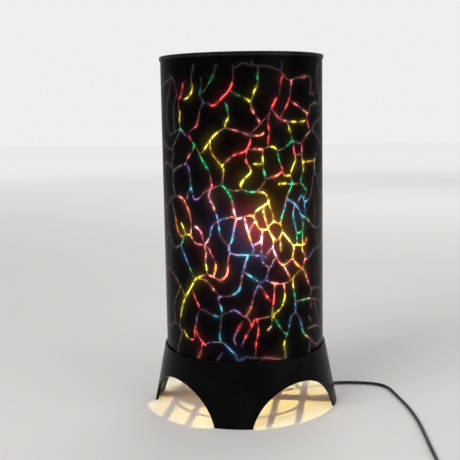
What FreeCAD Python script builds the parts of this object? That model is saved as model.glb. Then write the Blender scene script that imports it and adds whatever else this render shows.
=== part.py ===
import FreeCAD, Part
import math
import os
import re

import Sketcher
from FreeCAD import Placement, Rotation, Vector

# A rotating motion lamp. A black skirted base stands on four legs and carries a slatted vent
# deck, a lampholder with its bulb, and a wire bail that holds a needle above the bulb. A coloured
# film drum hangs on that needle from a vaned rotor, which the bulb's rising heat turns. A printed
# tube, the shade, drops into the base's collar round the drum.
#
# Millimetres. The origin is on the floor under the lamp's axis, +Z is up, and -Y is the front leg.

SIZES = {
    # shade: the printed tube and its top ring
    "shade_radius": 76.2,
    "shade_sheet": 0.6,
    "shade_length": 285.0,
    "shade_ring_lip": 1.0,
    "shade_ring_depth": 2.2,
    "shade_ring_cap": 1.4,
    "shade_seam_width": 12.0,
    "rivet_radius": 1.0,
    "rivet_head_radius": 2.0,
    "rivet_head_height": 0.7,
    # base: a flared skirt with four arches, a collar for the shade and a ledge for the deck
    "base_height": 58.6,
    "base_rim": 1.6,
    "base_flare": 11.3,
    "base_wall": 2.6,
    "collar_depth": 12.0,
    "collar_clearance": 0.4,
    "ledge_width": 7.6,
    "ledge_thickness": 2.4,
    "arch_height": 36.0,
    "arch_span": 99.0,
    "boss_radius": 3.4,
    "boss_depth": 9.0,
    "gusset_drop": 9.0,
    "gusset_angle": 2.6,
    # vent deck
    "deck_clearance": 0.4,
    "deck_thickness": 2.4,
    "deck_rim": 5.4,
    "deck_hub_margin": 1.0,
    "cross_bar_width": 12.0,
    "slat_width": 4.0,
    "slat_pitch": 17.5,
    "ring_rib_radius": 46.0,
    "ring_rib_width": 2.2,
    "socket_wall": 2.3,
    "socket_height": 8.0,
    # deck screws
    "screw_inset": 2.9,
    "screw_radius": 1.25,
    "screw_clearance": 0.3,
    "screw_head_radius": 2.6,
    "screw_head_height": 1.9,
    "screw_length": 8.6,
    # lampholder and the threaded nipple that clamps it to the deck
    "nipple_radius": 4.9,
    "nipple_bore": 3.4,
    "nipple_grip": 8.0,
    "nipple_stub": 1.2,
    "nut_height": 3.6,
    "nut_across_flats": 14.0,
    "holder_cap_lip": 1.4,
    "holder_cap_height": 14.0,
    "holder_wall": 4.85,
    "holder_height": 43.0,
    "holder_floor": 19.0,
    "holder_chamfer": 1.4,
    "screw_shell_wall": 0.4,
    "screw_shell_length": 22.5,
    "thread_clearance": 0.2,
    "contact_radius": 4.6,
    "contact_crown": 2.76,
    "contact_height": 2.0,
    # bulb
    "bulb_radius": 30.0,
    "bulb_light_centre": 79.0,
    "bulb_neck_inset": 0.95,
    "bulb_shoulder": 40.0,
    "bulb_glass_wall": 0.8,
    "bulb_cap_radius": 13.15,
    "bulb_cap_length": 21.0,
    "bulb_cap_wall": 0.7,
    "bulb_tip_height": 1.4,
    "bulb_insulator_height": 3.6,
    "stem_height": 42.0,
    "stem_radius": 2.8,
    "stem_flare_height": 16.8,
    "filament_radius": 14.0,
    "filament_wire": 0.6,
    # bail, needle and their collar
    "bail_wire": 1.25,
    "bail_radius": 40.0,
    "bail_rise": 231.0,
    "bail_clearance": 0.05,
    "bail_seat": 7.0,
    "needle_radius": 0.9,
    "needle_length": 22.0,
    "needle_taper": 4.0,
    "needle_point": 0.15,
    "needle_collar_wall": 1.95,
    "needle_collar_height": 10.0,
    "pivot_gap": 0.3,
    # drum: film, vaned rotor, bearing cup and hoop
    "drum_gap": 6.7,
    "drum_film": 0.4,
    "drum_length": 253.0,
    "drum_seam_width": 8.0,
    "drum_hoop_height": 4.0,
    "drum_hoop_thickness": 0.8,
    "rotor_drop": 11.4,
    "rotor_sheet": 0.6,
    "rotor_flange": 7.0,
    "rotor_window_inner": 20.0,
    "rotor_rim": 7.1,
    "rotor_web": 4.0,
    "vane_count": 12,
    "vane_tilt": 35.0,
    "cup_radius": 5.0,
    "cup_flange_width": 3.0,
    "cup_flange": 1.0,
    "cup_skirt": 6.0,
    "cup_crown": 3.0,
    "cup_wall": 1.2,
    "cup_seat_radius": 0.5,
    "washer_width": 4.0,
    "washer_thickness": 0.8,
    # power cord: lug under the deck, strain relief, lead inside
    "cord_radius": 1.5,
    "lead_turn": 30.0,
    "lead_drop": 13.6,
    "lead_bend": 9.0,
    "lug_distance": 15.0,
    "lug_thickness": 5.0,
    "lug_width": 12.0,
    "lug_margin": 6.0,
    "relief_spigot_radius": 2.9,
    "relief_flange_radius": 4.6,
    "relief_flange": 1.4,
    "relief_radius": 3.8,
    "relief_tip_radius": 2.3,
    "relief_length": 21.6,
    # in-line switch
    "switch_x": 116.0,
    "switch_y": -204.0,
    "switch_turn": 180.0,
    "switch_length": 60.0,
    "switch_width": 24.0,
    "switch_lower_height": 8.0,
    "switch_upper_height": 7.0,
    "switch_corner": 8.0,
    "switch_edge": 1.6,
    "switch_cord_height": 4.5,
    "switch_screw_spacing": 44.0,
    "switch_screw_radius": 1.1,
    "switch_screw_head": 2.2,
    "rocker_radius": 11.0,
    "rocker_width": 9.0,
    "rocker_face_height": 7.2,
    "rocker_depth": 2.0,
    "rocker_throw": 16.0,
    "rocker_gap": 0.35,
    "rocker_pin_radius": 1.2,
    "rocker_pin_length": 1.6,
    "rocker_pin_clearance": 0.05,
    # coil of spare cord, its tie, and the plug
    "coil_x": 52.0,
    "coil_y": -222.0,
    "coil_radius": 18.0,
    "coil_bundle_width": 9.0,
    "coil_bundle_height": 12.0,
    "tie_width": 8.0,
    "tie_thickness": 0.8,
    "plug_x": 118.0,
    "plug_y": -234.0,
    "plug_turn": 0.0,
    "plug_width": 25.0,
    "plug_height": 13.0,
    "plug_length": 20.0,
    "plug_tail_length": 20.0,
    "plug_tail_radius": 3.4,
    "plug_tip_radius": 1.95,
    "plug_corner": 4.0,
    "blade_length": 17.0,
    "blade_width": 6.35,
    "blade_thickness": 1.5,
    "blade_spacing": 12.7,
}

# Places and sizes that follow from the driving sizes.
DERIVED = {
    "shade_inner": "shade_radius - shade_sheet",
    "seat_z": "base_height - collar_depth",
    "shade_edge_z": "seat_z + shade_length",
    "shade_ring_z": "shade_edge_z - shade_ring_depth",
    "collar_radius": "shade_radius + collar_clearance",
    "base_top_radius": "collar_radius + base_rim",
    "base_foot_radius": "base_top_radius + base_flare",
    "ledge_inner": "collar_radius - ledge_width",
    "ledge_under_z": "seat_z - ledge_thickness",
    "skirt_slope": "(base_foot_radius - base_top_radius) / base_height",
    "ledge_wall_radius": "base_foot_radius - skirt_slope * ledge_under_z - base_wall",
    "gusset_z": "ledge_under_z - gusset_drop",
    "gusset_wall_radius": "base_foot_radius - skirt_slope * gusset_z - base_wall",
    "arch_radius": "(arch_height ^ 2 + (arch_span / 2) ^ 2) / (2 * arch_height)",
    "deck_radius": "shade_inner - shade_sheet - deck_clearance",
    "deck_top_z": "seat_z + deck_thickness",
    "screw_circle": "deck_radius - screw_inset",
    "nut_z": "seat_z - nut_height",
    "holder_z": "deck_top_z + holder_cap_height",
    "holder_floor_z": "holder_z + holder_floor",
    "holder_top_z": "holder_z + holder_height",
    "holder_bore": "bulb_cap_radius + thread_clearance + screw_shell_wall",
    "holder_radius": "holder_bore + holder_wall",
    "holder_cap_radius": "holder_radius + holder_cap_lip",
    "deck_hub_radius": "holder_cap_radius + deck_hub_margin",
    "socket_radius": "bail_wire + bail_clearance + socket_wall",
    "bulb_neck_radius": "bulb_cap_radius - bulb_neck_inset",
    "bulb_z": "holder_floor_z + contact_height",
    "bulb_insulator_z": "bulb_z + bulb_tip_height",
    "bulb_cap_z": "bulb_insulator_z + bulb_insulator_height",
    "bulb_cap_top_z": "bulb_cap_z + bulb_cap_length",
    "bulb_centre_z": "bulb_z + bulb_light_centre",
    "stem_z": "bulb_cap_z + bulb_cap_wall",
    "stem_top_z": "stem_z + stem_height",
    "bail_crown_z": "deck_top_z + bail_rise",
    "bail_foot_z": "deck_top_z + socket_height - bail_seat",
    "needle_tip_z": "bail_crown_z + needle_length",
    "cup_seat_z": "needle_tip_z + pivot_gap",
    "rotor_z": "cup_seat_z + cup_flange - pivot_gap",
    "rotor_top_z": "rotor_z + rotor_sheet",
    "drum_radius": "shade_radius - drum_gap",
    "drum_inner": "drum_radius - drum_film",
    "rotor_window_outer": "drum_inner - rotor_rim",
    "needle_collar_radius": "bail_wire + needle_collar_wall",
    "cup_flange_radius": "cup_radius + cup_flange_width",
    "cup_mouth_radius": "cup_radius - cup_wall",
    "washer_radius": "cup_radius + washer_width",
    "drum_top_z": "rotor_top_z + rotor_drop",
    "drum_z": "drum_top_z - drum_length",
    "lead_z": "seat_z - lead_drop",
    "relief_foot": "lug_distance + lug_thickness",
    "relief_tip": "relief_foot + relief_flange + relief_length",
    "switch_pivot_z": "switch_lower_height",
}

doc = FreeCAD.newDocument("motion_lamp")
sheet = doc.addObject("Spreadsheet::Sheet", "Sizes")
for row, (alias, value) in enumerate(SIZES.items(), 1):
    sheet.set(f"A{row}", alias)
    sheet.set(f"B{row}", str(value))
    sheet.setAlias(f"B{row}", alias)
doc.recompute()


def expand(text):
    """The text as a FreeCAD expression on the sheet's cells."""

    def swap(match):
        word = match.group(0)
        if word in DERIVED:
            return "(" + expand(DERIVED[word]) + ")"
        return "Sizes." + word if word in SIZES else word

    return re.sub(r"[a-z_]+", swap, str(text))


def number(text):
    """The value of an expression, from the sheet."""
    return float(sheet.evalExpression(expand(text)))


def bind(item, **sizes):
    for name, text in sizes.items():
        item.setExpression(name, expand(text))
    return item


def place(item, x="0", y="0", z="0", yaw="0", pitch="0", roll="0"):
    """Puts an object at x, y, z, turned by roll about X, pitch about Y and yaw about Z."""
    where = f"vector({expand(x)}; {expand(y)}; {expand(z)})"
    turned_by = f"rotation({expand(yaw)}; {expand(pitch)}; {expand(roll)})"
    item.setExpression("Placement", f"placement({where}; {turned_by})")
    return item


NODES = {}


def node(label, item):
    """Makes an object a sub-part of the lamp under its own name."""
    item.Label = label
    NODES[label] = item
    return item


# ---- Building blocks ----


def plane(body, role):
    return next(feature for feature in body.Origin.OriginFeatures if feature.Role == role)


def sketch_on(body, name, role, offset=None):
    sketch = body.newObject("Sketcher::SketchObject", name)
    sketch.AttachmentSupport = (plane(body, role), "")
    sketch.MapMode = "FlatFace"
    if offset is not None:
        sketch.AttachmentOffset = offset
    return sketch


def polygon(sketch, corners):
    """Draws a closed outline whose corners, pairs of expressions, are dimensioned from the origin."""
    points = [Vector(number(x), number(y), 0) for x, y in corners]
    count = len(points)
    for i in range(count):
        sketch.addGeometry(Part.LineSegment(points[i], points[(i + 1) % count]))
    for i in range(count):
        sketch.addConstraint(Sketcher.Constraint("Coincident", i, 2, (i + 1) % count, 1))
    for i, corner in enumerate(corners):
        for axis, text in zip("XY", corner):
            at = number(text)
            made = sketch.addConstraint(Sketcher.Constraint("Distance" + axis, -1, 1, i, 1, at))
            label = f"corner{axis}{i}"
            sketch.renameConstraint(made, label)
            sketch.setExpression("Constraints." + label, expand(text))
    return sketch


def disc(sketch, x, y, radius):
    """Draws a circle whose centre and radius are expressions."""
    index = sketch.GeometryCount
    sketch.addGeometry(Part.Circle(Vector(number(x), number(y), 0), Vector(0, 0, 1), number(radius)))
    rules = (
        ("X", x, Sketcher.Constraint("DistanceX", -1, 1, index, 3, number(x))),
        ("Y", y, Sketcher.Constraint("DistanceY", -1, 1, index, 3, number(y))),
        ("R", radius, Sketcher.Constraint("Radius", index, number(radius))),
    )
    for letter, text, rule in rules:
        label = f"circle{letter}{index}"
        sketch.renameConstraint(sketch.addConstraint(rule), label)
        sketch.setExpression("Constraints." + label, expand(text))
    return sketch


def turned(name, profile):
    """A body turned about Z from a closed outline of (radius, height) corners."""
    body = doc.addObject("PartDesign::Body", name)
    outline = polygon(sketch_on(body, name + "_outline", "XZ_Plane"), profile)
    turn = body.newObject("PartDesign::Revolution", name + "_turn")
    turn.Profile = outline
    turn.ReferenceAxis = (outline, ["V_Axis"])
    turn.Angle = 360
    return body


def sleeve(name, inner, outer, bottom, top):
    """A turned ring or tube between two radii and two heights."""
    return turned(name, [(inner, bottom), (outer, bottom), (outer, top), (inner, top)])


def cylinder(name, radius, height, **where):
    rod = doc.addObject("Part::Cylinder", name)
    bind(rod, Radius=radius, Height=height)
    return place(rod, **where)


def box(name, length, width, height, **where):
    """A box whose bottom face is centred on its own origin."""
    block = doc.addObject("Part::Box", name)
    bind(block, Length=length, Width=width, Height=height)
    centred = doc.addObject("Part::Compound", name + "_centred")
    place(block, x=f"-({length}) / 2", y=f"-({width}) / 2")
    centred.Links = [block]
    return place(centred, **where)


def fused(name, items):
    join = doc.addObject("Part::MultiFuse", name)
    join.Shapes = items
    join.Refine = True
    return join


def cut(name, base, tools):
    """The base with every tool taken out of it."""
    result = doc.addObject("Part::Cut", name)
    result.Base = base
    result.Tool = tools[0] if len(tools) == 1 else group(name + "_tools", tools)
    result.Refine = True
    return result


def group(name, items):
    """Separate solids under one name."""
    held = doc.addObject("Part::Compound", name)
    held.Links = items
    return held


def sector(name, inner, outer, bottom, top, width, middle):
    """A curved strip between two radii, as wide as width along its inner face, about an angle."""
    span = f"({width}) / ({inner}) * 180 / pi"
    walls = []
    for part_name, radius in (("outer", outer), ("inner", inner)):
        wall = doc.addObject("Part::Cylinder", f"{name}_{part_name}")
        bind(wall, Radius=radius, Height=f"({top}) - ({bottom})", Angle=span)
        place(wall, z=bottom, yaw=f"{middle} - {span} / 2")
        walls.append(wall)
    return cut(name, walls[0], [walls[1]])


def rounded(name, base, radius, chosen):
    """Rounds the edges of an object that the test chosen picks out."""
    doc.recompute()
    smooth = doc.addObject("Part::Fillet", name)
    smooth.Base = base
    size = number(radius)
    smooth.Edges = [(i, size, size) for i, edge in enumerate(base.Shape.Edges, 1) if chosen(edge)]
    return smooth


def ends_of(edge):
    return edge.valueAt(edge.FirstParameter), edge.valueAt(edge.LastParameter)


def upright(edge):
    start, end = ends_of(edge)
    return abs(start.x - end.x) < 1e-6 and abs(start.y - end.y) < 1e-6


def level_at(height):
    """Tells whether an edge lies flat at a height."""

    def lies(edge):
        return all(abs(point.z - height) < 1e-6 for point in ends_of(edge))

    return lies


def solid_feature(name, shape):
    item = doc.addObject("Part::Feature", name)
    item.Shape = shape
    return item


# An arc of a cord takes this share of the shorter of the two runs that it joins.
BEND_SHARE = 0.45


def tube(name, points, radius):
    """A round tube along straight runs that tangent arcs join, each as large as its runs allow."""
    points = [Vector(*point) for point in points]
    edges = []
    radii = []
    here = points[0]
    for before, corner, after in zip(points, points[1:], points[2:]):
        back = before - corner
        ahead = after - corner
        run = min(back.Length, ahead.Length)
        half_turn = (math.pi - back.getAngle(ahead)) / 2
        bend = BEND_SHARE * run / math.tan(half_turn)
        back.normalize()
        ahead.normalize()
        start = corner + back * BEND_SHARE * run
        end = corner + ahead * BEND_SHARE * run
        inward = (back + ahead).normalize()
        middle = corner + inward * (bend / math.cos(half_turn) - bend)
        edges.append(Part.LineSegment(here, start).toShape())
        edges.append(Part.Arc(start, middle, end).toShape())
        radii.append(round(bend, 1))
        here = end
    edges.append(Part.LineSegment(here, points[-1]).toShape())
    path = Part.Wire(edges)
    section = Part.Wire([Part.makeCircle(radius, points[0], points[1] - points[0])])
    shape = path.makePipeShell([section], True, False)
    swept = math.pi * radius**2 * path.Length
    print(f"{name}: length {path.Length:.1f}, radii {radii}, volume share {shape.Volume / swept:.4f}")
    return solid_feature(name, shape)


# ---- Base ----


def base_shell():
    """A flared skirt with a collar, a ledge inside it, four screw bosses and four arches."""
    body = turned(
        "base_shell_body",
        [
            ("base_foot_radius", "0"),
            ("base_top_radius", "base_height"),
            ("collar_radius", "base_height"),
            ("collar_radius", "seat_z"),
            ("ledge_inner", "seat_z"),
            ("ledge_inner", "ledge_under_z"),
            ("ledge_wall_radius", "ledge_under_z"),
            ("base_foot_radius - base_wall", "0"),
        ],
    )
    gusset_outline = polygon(
        sketch_on(body, "gusset_outline", "XZ_Plane"),
        [
            ("screw_circle", "ledge_under_z + ledge_thickness / 2"),
            ("ledge_wall_radius + base_wall / 2", "ledge_under_z + ledge_thickness / 2"),
            ("gusset_wall_radius + base_wall / 2", "gusset_z"),
            ("screw_circle", "ledge_under_z - gusset_drop / 2"),
        ],
    )
    gusset = body.newObject("PartDesign::Revolution", "gusset")
    gusset.Profile = gusset_outline
    gusset.ReferenceAxis = (gusset_outline, ["V_Axis"])
    gusset.Midplane = True
    bind(gusset, Angle="gusset_angle")
    gussets = body.newObject("PartDesign::PolarPattern", "gussets")
    gussets.Originals = [gusset]
    gussets.Axis = (gusset_outline, ["V_Axis"])
    gussets.Angle = 360
    gussets.Occurrences = 4
    body.Tip = gussets

    boss_outline = sketch_on(body, "boss_outline", "XY_Plane")
    boss_outline.setExpression("AttachmentOffset.Base.z", expand("seat_z - boss_depth"))
    for x, y in (("screw_circle", "0"), ("0", "screw_circle"), ("-screw_circle", "0"), ("0", "-screw_circle")):
        disc(boss_outline, x, y, "boss_radius")
    bosses = body.newObject("PartDesign::Pad", "bosses")
    bosses.Profile = boss_outline
    bind(bosses, Length="boss_depth - ledge_thickness / 2")

    pilot_outline = sketch_on(body, "pilot_outline", "XY_Plane")
    pilot_outline.setExpression("AttachmentOffset.Base.z", expand("seat_z"))
    for x, y in (("screw_circle", "0"), ("0", "screw_circle"), ("-screw_circle", "0"), ("0", "-screw_circle")):
        disc(pilot_outline, x, y, "screw_radius")
    pilots = body.newObject("PartDesign::Pocket", "pilots")
    pilots.Profile = pilot_outline
    bind(pilots, Length="screw_length - deck_thickness + screw_radius")

    arch_outline = sketch_on(
        body, "arch_outline", "XZ_Plane", Placement(Vector(), Rotation(Vector(0, 1, 0), 45))
    )
    disc(arch_outline, "0", "arch_height - arch_radius", "arch_radius")
    arch = body.newObject("PartDesign::Pocket", "arch")
    arch.Profile = arch_outline
    arch.Type = "ThroughAll"
    arch.Midplane = True
    arches = body.newObject("PartDesign::PolarPattern", "arches")
    arches.Originals = [arch]
    arches.Axis = (arch_outline, ["V_Axis"])
    arches.Angle = 90
    arches.Occurrences = 2
    body.Tip = arches
    return node("base_shell", body)


def vent_deck():
    """A spider of slats, a cross bar and a ring rib, with the bail's sockets and the cord's lug."""
    height = {"height": "deck_thickness", "z": "seat_z"}
    edge = cylinder("deck_edge", "deck_radius", **height)
    rim = cut("deck_rim_ring", edge, [cylinder("deck_eye", "deck_radius - deck_rim", **height)])
    rib = cut(
        "ring_rib",
        cylinder("rib_outside", "ring_rib_radius + ring_rib_width / 2", **height),
        [cylinder("rib_inside", "ring_rib_radius - ring_rib_width / 2", **height)],
    )
    pieces = [cylinder("deck_hub", "deck_hub_radius", **height), rib]
    span = "2 * deck_radius"
    pieces.append(box("cross_bar", span, "cross_bar_width", "deck_thickness", z="seat_z"))
    for i, share in enumerate((-2.5, -1.5, 1.5, 2.5)):
        slat = box(f"slat_{i}", "slat_width", span, "deck_thickness", x=f"{share} * slat_pitch", z="seat_z")
        pieces.append(slat)
    trim = doc.addObject("Part::Common", "deck_spider")
    trim.Base = fused("deck_bars", pieces)
    trim.Tool = cylinder("deck_trim", "deck_radius - deck_rim / 2", **height)

    solids = [rim, trim]
    holes = [cylinder("nipple_hole", "nipple_radius", "2 * deck_thickness", z="seat_z - deck_thickness / 2")]
    for side in (-1, 1):
        x = f"{side} * bail_radius"
        solids.append(cylinder("bail_socket", "socket_radius", "socket_height + deck_thickness", x=x, z="seat_z"))
        holes.append(cylinder("bail_hole", "bail_wire + bail_clearance", "bail_seat", x=x, z="bail_foot_z"))
    for quarter in range(4):
        angle = f"{90 * quarter}"
        hole = cylinder(
            "deck_screw_hole",
            "screw_radius + screw_clearance",
            "2 * deck_thickness",
            x=f"screw_circle * cos({angle})",
            y=f"screw_circle * sin({angle})",
            z="seat_z - deck_thickness / 2",
        )
        holes.append(hole)
    lug_middle = "(lug_distance + lug_thickness / 2)"
    lug = box(
        "cord_lug",
        "lug_thickness",
        "lug_width",
        "lead_drop + lug_margin + deck_thickness / 2",
        x=f"{lug_middle} * cos(lead_turn)",
        y=f"{lug_middle} * sin(lead_turn)",
        z="lead_z - lug_margin",
        yaw="lead_turn",
    )
    solids.append(lug)
    lug_hole = cylinder(
        "lug_hole", "relief_spigot_radius", "2 * relief_foot", z="lead_z", yaw="lead_turn", pitch="90"
    )
    holes.append(lug_hole)
    return node("vent_deck", cut("vent_deck_cut", fused("vent_deck_solid", solids), holes))


def deck_screws():
    """Four domed screws through the deck's rim into the bosses."""
    screws = []
    for quarter in range(4):
        screw = turned(
            f"deck_screw_{quarter}",
            [
                ("0", "deck_top_z - screw_length"),
                ("screw_radius", "deck_top_z - screw_length + screw_radius"),
                ("screw_radius", "deck_top_z"),
                ("screw_head_radius", "deck_top_z"),
                ("screw_head_radius", "deck_top_z + screw_head_height / 3"),
                ("screw_head_radius / 2", "deck_top_z + screw_head_height"),
                ("0", "deck_top_z + screw_head_height"),
            ],
        )
        angle = f"{90 * quarter}"
        screws.append(place(screw, x=f"screw_circle * cos({angle})", y=f"screw_circle * sin({angle})"))
    return node("deck_screws", group("deck_screw_set", screws))


# ---- Lampholder and bulb ----


def lampholder():
    """Cap, insulating body, threaded shell and contact, clamped to the deck by nipple and nut."""
    nipple_top = "deck_top_z + nipple_grip"
    node("nipple", sleeve("nipple_body", "nipple_bore", "nipple_radius", "nut_z - nipple_stub", nipple_top))
    prism = doc.addObject("Part::Prism", "nut_blank")
    prism.Polygon = 6
    bind(prism, Circumradius="nut_across_flats / sqrt(3)", Height="nut_height")
    place(prism, z="nut_z")
    nut_hole = cylinder("nut_hole", "nipple_radius", "2 * nut_height", z="nut_z - nut_height / 2")
    node("lock_nut", cut("nut_cut", prism, [nut_hole]))
    cap = turned(
        "holder_cap_body",
        [
            ("nipple_radius", "deck_top_z"),
            ("holder_cap_radius", "deck_top_z"),
            ("holder_cap_radius", "holder_z - holder_chamfer"),
            ("holder_cap_radius - holder_chamfer", "holder_z"),
            ("0", "holder_z"),
            ("0", nipple_top),
            ("nipple_radius", nipple_top),
        ],
    )
    node("lampholder_cap", cap)
    body = turned(
        "holder_body",
        [
            ("0", "holder_z"),
            ("holder_radius", "holder_z"),
            ("holder_radius", "holder_top_z - holder_chamfer"),
            ("holder_radius - holder_chamfer", "holder_top_z"),
            ("holder_bore", "holder_top_z"),
            ("holder_bore", "holder_floor_z"),
            ("0", "holder_floor_z"),
        ],
    )
    node("lampholder_body", body)
    shell_top = "holder_floor_z + screw_shell_length"
    shell = sleeve("screw_shell_body", "holder_bore - screw_shell_wall", "holder_bore", "holder_floor_z", shell_top)
    node("screw_shell", shell)
    contact = turned(
        "contact_body",
        [
            ("0", "holder_floor_z"),
            ("contact_radius", "holder_floor_z"),
            ("contact_radius", "holder_floor_z + contact_height / 3"),
            ("contact_crown", "bulb_z"),
            ("0", "bulb_z"),
        ],
    )
    node("centre_contact", contact)


def bulb_outline(offset):
    """The glass's outer curve from neck to crown, moved inwards by offset: its edges and ends."""
    ball = number("bulb_radius") - offset
    neck = number("bulb_neck_radius") - offset
    shoulder = number("bulb_shoulder") + offset
    middle_z = number("bulb_centre_z")
    foot_z = number("stem_z + bulb_cap_wall")
    rise = math.sqrt((ball + shoulder) ** 2 - (neck + shoulder) ** 2)
    hollow = Vector(neck + shoulder, 0, middle_z - rise)
    ball_centre = Vector(0, 0, middle_z)
    toward = (hollow - ball_centre).normalize()
    joint = ball_centre + toward * ball
    straight_top = Vector(neck, 0, hollow.z)
    half = (straight_top - hollow).getAngle(joint - hollow) / 2
    shoulder_middle = hollow + Vector(-shoulder * math.cos(half), 0, shoulder * math.sin(half))
    foot = Vector(neck, 0, foot_z)
    crown = ball_centre + Vector(0, 0, ball)
    side = ball_centre + Vector(ball, 0, 0)
    edges = [
        Part.LineSegment(foot, straight_top).toShape(),
        Part.Arc(straight_top, shoulder_middle, joint).toShape(),
        Part.Arc(joint, side, crown).toShape(),
    ]
    return edges, foot, crown


def bulb():
    """Glass envelope, screw cap, insulator, contact, stem, lead wires and filament."""
    outside, foot, crown = bulb_outline(0)
    inside, inner_foot, inner_crown = bulb_outline(number("bulb_glass_wall"))
    closing = [
        Part.LineSegment(crown, inner_crown).toShape(),
        Part.LineSegment(inner_foot, foot).toShape(),
    ]
    section = Part.Face(Part.Wire(Part.sortEdges(outside + inside + closing)[0]))
    node("bulb_glass", solid_feature("bulb_glass_solid", section.revolve(Vector(), Vector(0, 0, 1), 360)))
    cap = turned(
        "bulb_cap_body",
        [
            ("contact_radius", "bulb_cap_z"),
            ("bulb_cap_radius - bulb_cap_wall", "bulb_cap_z"),
            ("bulb_cap_radius", "bulb_cap_z + 2 * bulb_cap_wall"),
            ("bulb_cap_radius", "bulb_cap_top_z"),
            ("bulb_neck_radius", "bulb_cap_top_z"),
            ("bulb_neck_radius", "stem_z"),
            ("contact_radius", "stem_z"),
        ],
    )
    node("bulb_cap", cap)
    insulator = turned(
        "bulb_insulator_body",
        [
            ("contact_radius", "bulb_insulator_z"),
            ("bulb_cap_radius - bulb_cap_wall", "bulb_cap_z"),
            ("contact_radius", "bulb_cap_z"),
            ("contact_radius", "stem_z"),
            ("0", "stem_z"),
            ("0", "bulb_insulator_z"),
        ],
    )
    node("bulb_insulator", insulator)
    tip = turned(
        "bulb_tip_body",
        [
            ("0", "bulb_z"),
            ("contact_crown", "bulb_z"),
            ("contact_radius", "bulb_insulator_z"),
            ("0", "bulb_insulator_z"),
        ],
    )
    node("bulb_contact", tip)
    flare = "bulb_neck_radius - bulb_glass_wall"
    stem = turned(
        "bulb_stem_body",
        [
            ("0", "stem_z"),
            (flare, "stem_z"),
            (flare, "stem_z + bulb_cap_wall"),
            ("stem_radius", "stem_z + stem_flare_height"),
            ("stem_radius", "stem_top_z"),
            ("0", "stem_top_z"),
        ],
    )
    node("bulb_stem", stem)
    filament = doc.addObject("Part::Torus", "filament_arc")
    bind(filament, Radius1="filament_radius", Radius2="filament_wire")
    filament.Angle3 = 180
    node("bulb_filament", place(filament, z="bulb_centre_z", yaw="180"))
    wire = number("filament_wire")
    arm = number("filament_radius")
    leads = []
    for side in (-1, 1):
        foot = Vector(side * number("stem_radius"), 0, number("stem_top_z") - wire)
        reach = Vector(side * arm, 0, number("bulb_centre_z") - wire) - foot
        leads.append(Part.makeCylinder(wire / 2, reach.Length, foot, reach))
    lead_wires = solid_feature("bulb_lead_wires", Part.makeCompound(leads))
    node("bulb_leads", cut("bulb_leads_cut", lead_wires, [stem, filament]))


# ---- Bail and needle ----


def bail():
    """A wire arch round the bulb, and the needle in a collar on its crown."""
    spring_z = "bail_crown_z - bail_radius"
    arch = doc.addObject("Part::Torus", "bail_arch")
    bind(arch, Radius1="bail_radius", Radius2="bail_wire")
    arch.Angle3 = 180
    place(arch, z=spring_z, roll="90")
    legs = [
        cylinder("bail_leg", "bail_wire", f"{spring_z} - bail_foot_z", x=f"{side} * bail_radius", z="bail_foot_z")
        for side in (-1, 1)
    ]
    wire = node("pivot_bail", fused("bail_wire_solid", [arch, *legs]))
    collar_foot = "bail_crown_z - needle_collar_height / 2"
    collar = cylinder("collar_blank", "needle_collar_radius", "needle_collar_height", z=collar_foot)
    needle = turned(
        "needle_body",
        [
            ("0", "bail_crown_z + bail_wire"),
            ("needle_radius", "bail_crown_z + bail_wire"),
            ("needle_radius", "needle_tip_z - needle_taper"),
            ("needle_point", "needle_tip_z"),
            ("0", "needle_tip_z"),
        ],
    )
    node("pivot_needle", needle)
    node("needle_collar", cut("collar_cut", collar, [wire, needle]))


# ---- Drum ----


def drum_rotor():
    """A pressed disc with windows, each window's tab bent down into a vane, and a rim flange."""
    body = turned(
        "rotor_body",
        [
            ("cup_radius", "rotor_z"),
            ("drum_inner - rotor_sheet", "rotor_z"),
            ("drum_inner - rotor_sheet", "rotor_top_z - rotor_flange"),
            ("drum_inner", "rotor_top_z - rotor_flange"),
            ("drum_inner", "rotor_top_z"),
            ("cup_radius", "rotor_top_z"),
        ],
    )
    step = "(360 / vane_count)"
    half_web = "(rotor_web / 2)"
    window_outline = sketch_on(body, "window_outline", "XY_Plane")
    window_outline.setExpression("AttachmentOffset.Base.z", expand("rotor_top_z"))

    def far_corner(radius):
        """Where the next web's edge starts at a radius."""
        return (
            f"{radius} * cos{step} + {half_web} * sin{step}",
            f"{radius} * sin{step} - {half_web} * cos{step}",
        )

    polygon(
        window_outline,
        [
            ("rotor_window_inner", half_web),
            ("rotor_window_outer", half_web),
            far_corner("rotor_window_outer"),
            far_corner("rotor_window_inner"),
        ],
    )
    window = body.newObject("PartDesign::Pocket", "window")
    window.Profile = window_outline
    bind(window, Length="2 * rotor_sheet")
    windows = body.newObject("PartDesign::PolarPattern", "windows")
    windows.Originals = [window]
    windows.Axis = (window_outline, ["N_Axis"])
    windows.Angle = 360
    bind(windows, Occurrences="vane_count")
    body.Tip = windows

    vane_outline = sketch_on(body, "vane_outline", "XY_Plane")
    hinge = f"vector(0; {expand(half_web)}; {expand('rotor_z + rotor_sheet / 2')})"
    bent = f"rotation(vector(1; 0; 0); {expand('-vane_tilt')})"
    vane_outline.setExpression("AttachmentOffset", f"placement({hinge}; {bent})")
    chord = f"sin{step} - rotor_web"
    polygon(
        vane_outline,
        [
            ("rotor_window_inner", "-rotor_sheet"),
            ("rotor_window_outer", "-rotor_sheet"),
            ("rotor_window_outer", f"rotor_window_outer * {chord}"),
            ("rotor_window_inner", f"rotor_window_inner * {chord}"),
        ],
    )
    vane = body.newObject("PartDesign::Pad", "vane")
    vane.Profile = vane_outline
    vane.Midplane = True
    bind(vane, Length="rotor_sheet")
    vanes = body.newObject("PartDesign::PolarPattern", "vanes")
    vanes.Originals = [vane]
    vanes.Axis = (window_outline, ["N_Axis"])
    vanes.Angle = 360
    bind(vanes, Occurrences="vane_count")
    body.Tip = vanes
    return node("drum_rotor", body)


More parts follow.
